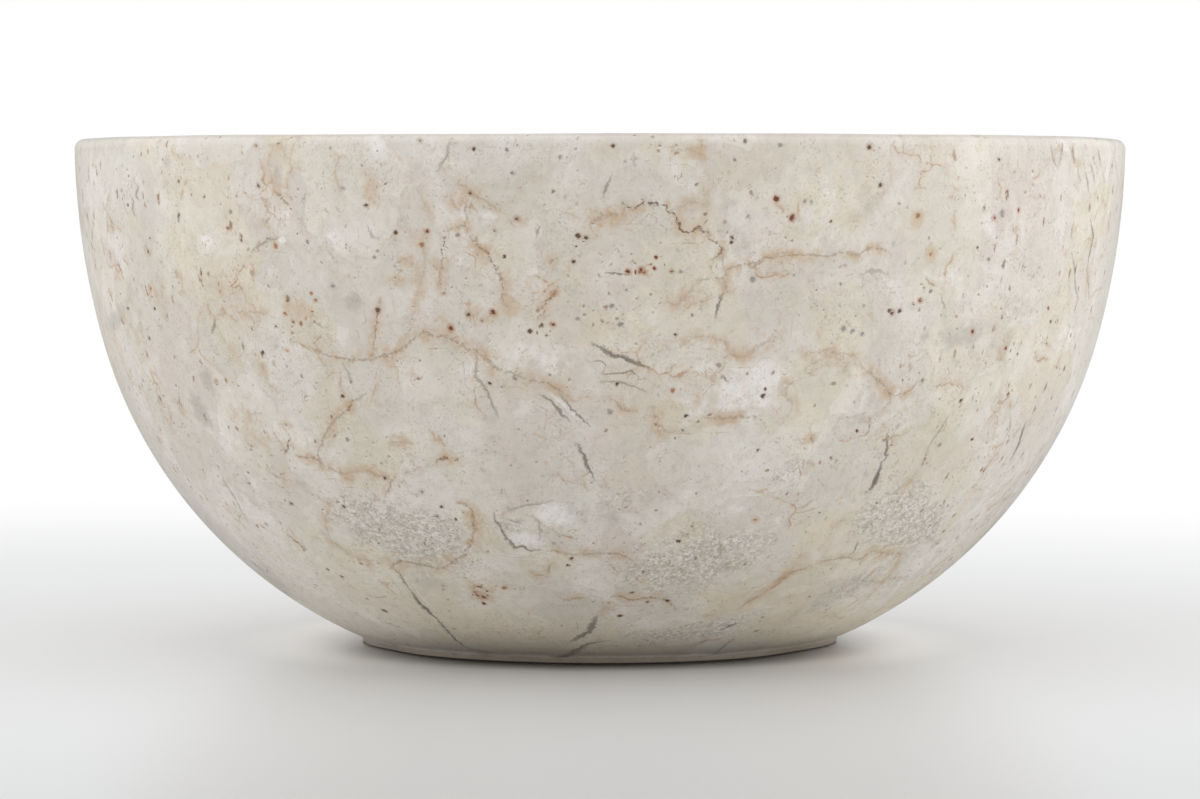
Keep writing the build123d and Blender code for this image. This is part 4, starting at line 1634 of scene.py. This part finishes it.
        return colour, grainy, sugar.outputs["Height"]

    def marked(self, sheet: Sheet, space: StoneSpace, colour: Socket) -> tuple[Socket, Socket]:
        """Lays the drawn veins, cracks and spots.

        Args:
            sheet: the material's nodes.
            space: the stone's space.
            colour: the colour so far.

        Returns:
            The colour with the marks, and how deep each point is sunk.
        """
        line, spot = self.line_mask(), self.spot_mask()
        first, second, third = sheet.split(sheet.noise(space.place, 1.3, 5.0, 0.7).outputs["Color"])
        wobble = sheet.times(sheet.math("SUBTRACT", first, 0.5), 1.15)
        fray = sheet.times(sheet.math("SUBTRACT", second, 0.5), 2.6)
        crumbs = sheet.fog(space.place, 3.2, 4.0, 0.7)
        broken = sheet.range(crumbs, 0.41, 0.64, 0.0, 1.7)
        whole = sheet.range(crumbs, 0.3, 0.7, 0.65, 1.35)
        haze = sheet.range(sheet.fog(space.place, 0.42, 3.0, 0.6), 0.38, 0.6)
        haze = sheet.times(haze, sheet.range(third, 0.36, 0.56, 0.35, 1.0))
        paints = {
            "cool": (
                ((0.0, self.snow), (0.35, linear(160, 151, 139)), (0.6, linear(152, 136, 110)),
                 (1.0, linear(96, 84, 75))),
                ((0.0, self.snow), (0.35, linear(160, 154, 147)), (1.0, linear(66, 60, 56))),
                ((0.0, self.chalk), (0.35, linear(190, 184, 175)), (1.0, linear(158, 148, 138))),
            ),
            "warm": (
                ((0.0, linear(192, 166, 138)), (0.3, linear(168, 136, 106)), (0.6, linear(150, 98, 66)),
                 (1.0, linear(128, 88, 70))),
                ((0.0, linear(196, 160, 124)), (0.3, linear(168, 124, 88)), (0.6, linear(100, 52, 40)),
                 (1.0, linear(94, 66, 50))),
                ((0.0, linear(212, 184, 154)), (0.3, linear(210, 172, 138)), (0.6, linear(186, 128, 94)),
                 (1.0, linear(168, 140, 116))),
            ),
        }
        firm = ((0.0, (0.5,) * 3 + (1.0,)), (0.3, (0.55,) * 3 + (1.0,)), (1.0, (0.95,) * 3 + (1.0,)))
        sunk: Feed = 0.0
        for family, (lines, cores, rings) in paints.items():
            for number in range(4):
                mark = sheet.attribute(f"{family}_{number}")
                mask = sheet.use(line, Mark=mark.outputs["Color"], Wobble=wobble, Fray=fray,
                                 Breaks=whole if family == "cool" else broken,
                                 Core_share=0.9 if family == "cool" else 0.42)
                core = sheet.times(mask.outputs["Core"], 0.85)
                if family == "warm":
                    soft = sheet.times(sheet.times(mask.outputs["Halo"], haze), 0.95)
                    colour = sheet.blend(soft, colour, self.tan)
                    core = sheet.times(mask.outputs["Core"], sheet.ramp(mark.outputs["Alpha"], firm))
                colour = sheet.blend(core, colour, sheet.ramp(mark.outputs["Alpha"], lines))
                sunk = sheet.math("MAXIMUM", sunk, core)
            for number in range(3):
                mark = sheet.attribute(f"{family}_spot_{number}")
                mask = sheet.use(spot, Mark=mark.outputs["Color"], Wobble=sheet.times(fray, 0.46))
                ring = sheet.times(mask.outputs["Ring"], 0.6)
                colour = sheet.blend(ring, colour, sheet.ramp(mark.outputs["Alpha"], rings))
                core = sheet.times(mask.outputs["Core"], 0.9)
                colour = sheet.blend(core, colour, sheet.ramp(mark.outputs["Alpha"], cores))
                sunk = sheet.math("MAXIMUM", sunk, core)
        return colour, sunk

    def peppered(self, sheet: Sheet, space: StoneSpace, colour: Socket) -> tuple[Socket, Socket]:
        """Scatters the small specks and short hairlines that lie all over the stone, with a painted
        highlight just below many fine specks as the lit edges of pits.

        Args:
            sheet: the material's nodes.
            space: the stone's space.
            colour: the colour so far.

        Returns:
            The colour with the specks, and the specks' mask.
        """
        group = self.speckle()
        fine = sheet.use(group, Place=space.ragged, Cell=0.85, Share=0.3, Radius=0.23)
        bold = sheet.use(group, Place=space.ragged, Cell=2.4, Share=0.5, Radius=0.34)
        # painted highlight: pale copies of the fine specks, 0.2 mm lower, stand in for the lit edges of
        # pits
        painted_highlight_place = sheet.vector("ADD", space.ragged, (0.0, 0.0, 0.2))
        painted_pit_highlight = sheet.use(group, Place=painted_highlight_place, Cell=0.85, Share=0.3, Radius=0.23)
        flock = sheet.range(sheet.fog(space.place, 0.25, 3.0, 0.6), 0.4, 0.58, 0.12, 1.0)
        fine_shades = (
            (0.0, linear(150, 142, 134)), (0.45, linear(174, 138, 104)),
            (1.0, linear(128, 88, 62)),
        )
        bold_shades = (
            (0.0, linear(142, 136, 130)), (0.5, linear(146, 110, 82)),
            (1.0, linear(104, 70, 54)),
        )
        dash_shades = (
            (0.0, linear(136, 120, 102)), (0.45, linear(170, 118, 74)),
            (1.0, linear(84, 54, 36)),
        )
        # painted highlight of the pits' lit edges
        painted_highlight_mask = sheet.times(sheet.times(painted_pit_highlight.outputs["Mask"], flock), 0.5)
        colour = sheet.blend(painted_highlight_mask, colour, self.snow)
        fine_mask = sheet.times(sheet.times(fine.outputs["Mask"], flock), 0.8)
        colour = sheet.blend(fine_mask, colour, sheet.ramp(fine.outputs["Shade"], fine_shades))
        bold_mask = sheet.times(bold.outputs["Mask"], 0.7)
        colour = sheet.blend(bold_mask, colour, sheet.ramp(bold.outputs["Shade"], bold_shades))
        tall_place = sheet.vector("MULTIPLY", space.ragged, (1.0, 1.0, 0.42))
        dash = sheet.use(group, Place=tall_place, Cell=1.15, Share=0.5, Radius=0.34)
        herd = sheet.range(sheet.fog(space.place, 0.16, 3.0, 0.65), 0.38, 0.5)
        chipped = sheet.range(sheet.fog(space.place, 2.8, 3.0, 0.65), 0.36, 0.5, 0.25, 1.0)
        herd = sheet.times(sheet.times(herd, chipped), space.flank)
        dashes = sheet.times(sheet.times(dash.outputs["Mask"], herd), 0.88)
        colour = sheet.blend(dashes, colour, sheet.ramp(dash.outputs["Shade"], dash_shades))
        ridge = sheet.fog(space.bent, 0.8, 3.0, 0.62)
        from_ridge = sheet.math("ABSOLUTE", sheet.math("SUBTRACT", ridge, 0.5))
        hair = sheet.range(from_ridge, 0.004, 0.014, 1.0, 0.0)
        gate = sheet.range(sheet.fog(space.place, 0.75, 3.0, 0.6), 0.5, 0.58)
        hair = sheet.times(sheet.times(hair, gate), flock)
        colour = sheet.blend(sheet.times(hair, 0.65), colour, linear(156, 138, 118))
        return colour, sheet.math("MAXIMUM", bold.outputs["Mask"], fine.outputs["Mask"])

    def painted_edge_light_and_shade(self, sheet: Sheet, space: StoneSpace, colour: Socket) -> Socket:
        """Paints light and shade at the edges: a painted highlight and a painted dark reflection at the
        rim, painted shade on the foot's upright edge and a painted contact shadow at the table.

        Args:
            sheet: the material's nodes.
            space: the stone's space.
            colour: the colour so far.

        Returns:
            The colour with both edges.
        """
        up = space.height
        # painted highlight: a faint pale band round the rim, about 0.3 to 1.3 mm below its top
        rim = sheet.times(sheet.range(up, 56.4, 56.8), sheet.range(up, 57.2, 57.4, 1.0, 0.0))
        colour = sheet.blend(sheet.times(rim, 0.2), colour, linear(234, 233, 229))
        # painted dark reflection: a faint grey line on the top of the rim's outer rounding
        painted_rim_top_reflection = sheet.times(sheet.range(up, 57.25, 57.5), sheet.range(space.across, 58.6, 59.1))
        colour = sheet.blend(sheet.times(painted_rim_top_reflection, 0.4), colour, linear(186, 184, 180))
        # painted shade: the foot's upright edge darkened up to about 1 mm above the table
        step = sheet.times(sheet.range(up, 0.03, 0.12), sheet.range(up, 0.55, 0.95, 0.85, 0.0))
        colour = sheet.blend(step, colour, linear(134, 123, 109))
        # painted contact shadow: a dark line in the lowest quarter millimetre of the foot, just above the
        # table
        line = sheet.times(sheet.range(up, 0.02, 0.05), sheet.range(up, 0.15, 0.28, 0.95, 0.0))
        return sheet.blend(line, colour, linear(62, 57, 52))

    def material(self) -> bpy.types.Material:
        """Makes the stone.

        Returns:
            The material.
        """
        made = bpy.data.materials.new("Cream limestone")
        made.use_nodes = True
        made.node_tree.nodes.clear()
        sheet = Sheet(made.node_tree)
        space = self.space(sheet)
        colour, grainy, crystals = self.clouded(sheet, space, self.ground(sheet, space))
        colour = self.texture(sheet, space, colour)
        colour, sunk = self.marked(sheet, space, colour)
        colour, specks = self.peppered(sheet, space, colour)
        colour = self.painted_edge_light_and_shade(sheet, space, colour)

        height = sheet.times(sheet.fog(space.place, 0.9, 4.0, 0.6), 0.02)
        height = sheet.math("MULTIPLY_ADD", sheet.times(grainy, crystals), 0.04, height)
        height = sheet.math("MULTIPLY_ADD", sunk, -0.06, height)
        height = sheet.math("MULTIPLY_ADD", specks, -0.03, height)
        bump = sheet.add("ShaderNodeBump")
        bump.inputs["Strength"].default_value = 1.0
        bump.inputs["Distance"].default_value = MM
        sheet.feed(bump.inputs["Height"], height)

        # painted shade: up to 40 % grey blended in where the surface turns away from the view, only a tenth
        # as much near the foot
        facing = sheet.add("ShaderNodeLayerWeight")
        facing.inputs["Blend"].default_value = 0.5
        painted_grazing_shade = sheet.range(facing.outputs["Facing"], 0.72, 1.0, 0.0, 0.4)
        painted_grazing_shade = sheet.times(painted_grazing_shade, sheet.range(space.height, 2.0, 14.0, 0.1, 1.0))
        colour = sheet.blend(painted_grazing_shade, colour, linear(140, 140, 134))
        shader = sheet.add("ShaderNodeBsdfPrincipled")
        sheet.feed(shader.inputs["Base Color"], colour)
        shader.inputs["Specular IOR Level"].default_value = 0.35
        rough = sheet.math("MULTIPLY_ADD", sheet.math("MAXIMUM", sunk, grainy), 0.18, self.roughness)
        sheet.feed(shader.inputs["Roughness"], rough)
        shader.inputs["IOR"].default_value = 1.48
        sheet.feed(shader.inputs["Normal"], bump.outputs[0])
        out = sheet.add("ShaderNodeOutputMaterial")
        sheet.feed(out.inputs["Surface"], shader.outputs[0])
        return made


# ---------------------------------------------------------------- the studio


@dataclass
class StudioFloor:
    """A pale floor in metres, with painted shade towards the camera, painted light beside the bowl, a
    painted shadow round its foot, and white far away.
    """

    foot_radius: float
    reach: float = 3.0
    fade_start: float = 0.12
    fade_end: float = 0.28
    centre: tuple[float, float, float] = (-0.035, -0.03, 0.0)
    shade_width: float = 0.008

    def build(self) -> bpy.types.Object:
        """Makes the floor with its finish.

        Returns:
            The floor.
        """
        bpy.ops.object.select_all(action="DESELECT")
        bpy.ops.mesh.primitive_plane_add(size=self.reach * 2, location=(0, 0, 0))
        floor = bpy.context.object
        floor.name = "studio_floor"
        made = bpy.data.materials.new("Studio floor")
        made.use_nodes = True
        made.node_tree.nodes.clear()
        sheet = Sheet(made.node_tree)
        place = sheet.add("ShaderNodeTexCoord").outputs["Object"]
        centred = sheet.vector("SUBTRACT", place, self.centre)
        away = sheet.vector("LENGTH", centred)
        fade = sheet.range(away, self.fade_start, self.fade_end)
        paper = sheet.add("ShaderNodeBsdfPrincipled")
        parts = sheet.add("ShaderNodeSeparateXYZ")
        sheet.feed(parts.inputs[0], place)
        # painted shade: the floor darker towards the camera
        near = sheet.range(parts.outputs[1], -0.17, -0.07, 1.0, 0.0)
        shade = sheet.blend(near, linear(222, 223, 224), linear(205, 206, 207))
        out_from = sheet.vector("LENGTH", place)
        # painted light: the floor brightened beside the bowl's sides, close to the foot
        beside = sheet.range(sheet.math("ABSOLUTE", parts.outputs[0]), 0.014, 0.032)
        painted_side_light = sheet.times(beside, sheet.range(out_from, 0.034, 0.044, 0.95, 0.0))
        shade = sheet.blend(painted_side_light, shade, linear(250, 250, 250))
        # painted contact shadow: a dark ring within 8 mm of the foot, a quarter as strong at the sides
        foot = sheet.range(out_from, self.foot_radius, self.foot_radius + self.shade_width, 0.95, 0.0)
        foot = sheet.times(foot, sheet.math("MULTIPLY_ADD", beside, -0.75, 1.0))
        shade = sheet.blend(foot, shade, linear(92, 89, 84))
        sheet.feed(paper.inputs["Base Color"], shade)
        paper.inputs["Roughness"].default_value = 0.3
        paper.inputs["Specular IOR Level"].default_value = 0.4
        white = sheet.add("ShaderNodeEmission")
        rays = sheet.add("ShaderNodeLightPath")
        seen = sheet.math("MAXIMUM", rays.outputs["Is Camera Ray"], rays.outputs["Is Glossy Ray"])
        seen = sheet.math("MAXIMUM", seen, rays.outputs["Is Transmission Ray"])
        both = sheet.add("ShaderNodeMixShader")
        sheet.feed(both.inputs[0], sheet.times(fade, seen))
        sheet.feed(both.inputs[1], paper.outputs[0])
        sheet.feed(both.inputs[2], white.outputs[0])
        out = sheet.add("ShaderNodeOutputMaterial")
        sheet.feed(out.inputs["Surface"], both.outputs[0])
        floor.data.materials.append(made)
        return floor


@dataclass(frozen=True)
class Lamp:
    """A soft area lamp: where it stands, its width and height, and its strength in watts."""

    name: str
    place: tuple[float, float, float]
    size: tuple[float, float]
    watts: float


@dataclass
class StudioLights:
    """Two soft side lamps and an even white room."""

    lamps: tuple[Lamp, ...] = (
        Lamp("Left softbox", (-0.65, -0.05, 0.15), (0.4, 0.3), 0.5),
        Lamp("Right softbox", (0.65, -0.05, 0.12), (0.4, 0.3), 0.95),
    )
    room: float = 1.0

    def build(self) -> None:
        """Hangs the lamps and lights the room."""
        for lamp in self.lamps:
            data = bpy.data.lights.new(lamp.name, "AREA")
            data.shape = "RECTANGLE"
            data.size, data.size_y = lamp.size
            data.energy = lamp.watts
            hung = bpy.data.objects.new(lamp.name, data)
            bpy.context.scene.collection.objects.link(hung)
            hung.location = lamp.place
            aim = Vector((0, 0, 0.03)) - Vector(lamp.place)
            hung.rotation_euler = aim.to_track_quat("-Z", "Y").to_euler()
        world = bpy.data.worlds.new("White room")
        bpy.context.scene.world = world
        world.use_nodes = True
        world.node_tree.nodes.clear()
        sheet = Sheet(world.node_tree)
        rays = sheet.add("ShaderNodeLightPath")
        seen = sheet.math("MAXIMUM", rays.outputs["Is Camera Ray"], rays.outputs["Is Transmission Ray"])
        glow = sheet.add("ShaderNodeBackground")
        glow.inputs["Color"].default_value = WHITE
        glow.inputs["Strength"].default_value = self.room
        white = sheet.add("ShaderNodeBackground")
        white.inputs["Color"].default_value = WHITE
        both = sheet.add("ShaderNodeMixShader")
        sheet.feed(both.inputs[0], seen)
        sheet.feed(both.inputs[1], glow.outputs[0])
        sheet.feed(both.inputs[2], white.outputs[0])
        out = sheet.add("ShaderNodeOutputWorld")
        sheet.feed(out.inputs["Surface"], both.outputs[0])


@dataclass(frozen=True)
class StudioCamera:
    """The camera, just below the rim's height and looking slightly down."""

    back: float = 0.50697
    height: float = 0.05147
    look_down: float = 2.675
    lens: float = 132.07

    def build(self) -> None:
        """Sets up the scene's camera."""
        data = bpy.data.cameras.new("Studio camera")
        data.lens = self.lens
        data.sensor_width = 36.0
        data.clip_start = 0.01
        data.clip_end = 50.0
        camera = bpy.data.objects.new("Studio camera", data)
        bpy.context.scene.collection.objects.link(camera)
        camera.location = (0, -self.back, self.height)
        camera.rotation_euler = (math.radians(90 - self.look_down), 0, 0)
        bpy.context.scene.camera = camera


def main() -> None:
    """Builds the bowl and its studio."""
    logging.basicConfig(level=logging.INFO, format="%(message)s")
    low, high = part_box("stone_bowl")
    section = Section(rim_radius=high.x / MM, height=high.z / MM)
    stone_map = StoneMap(section)
    for skin, turn in ((Skin.OUTSIDE, 0), (Skin.OUTSIDE, 180), (Skin.INSIDE, 70), (Skin.INSIDE, 250)):
        stone_map.lay(skin, turn)
    bowl = StoneBowl(section, stone_map)
    piece = bowl.build()
    bowl.dress(Limestone())
    triangles = sum(len(face.vertices) - 2 for face in piece.data.polygons)
    strokes, dots = len(stone_map.strokes), len(stone_map.dots)
    logging.info("stone bowl: %d triangles, %d strokes, %d spots", triangles, strokes, dots)
    StudioFloor(section.foot_radius * MM).build()
    logging.info("studio floor: laid")
    lights = StudioLights()
    lights.build()
    logging.info("studio lights: %d lamps and the white room", len(lights.lamps))
    StudioCamera().build()
    bpy.context.scene.view_settings.view_transform = "Standard"
    logging.info("studio camera: placed")


if __name__ == "__main__":
    main()
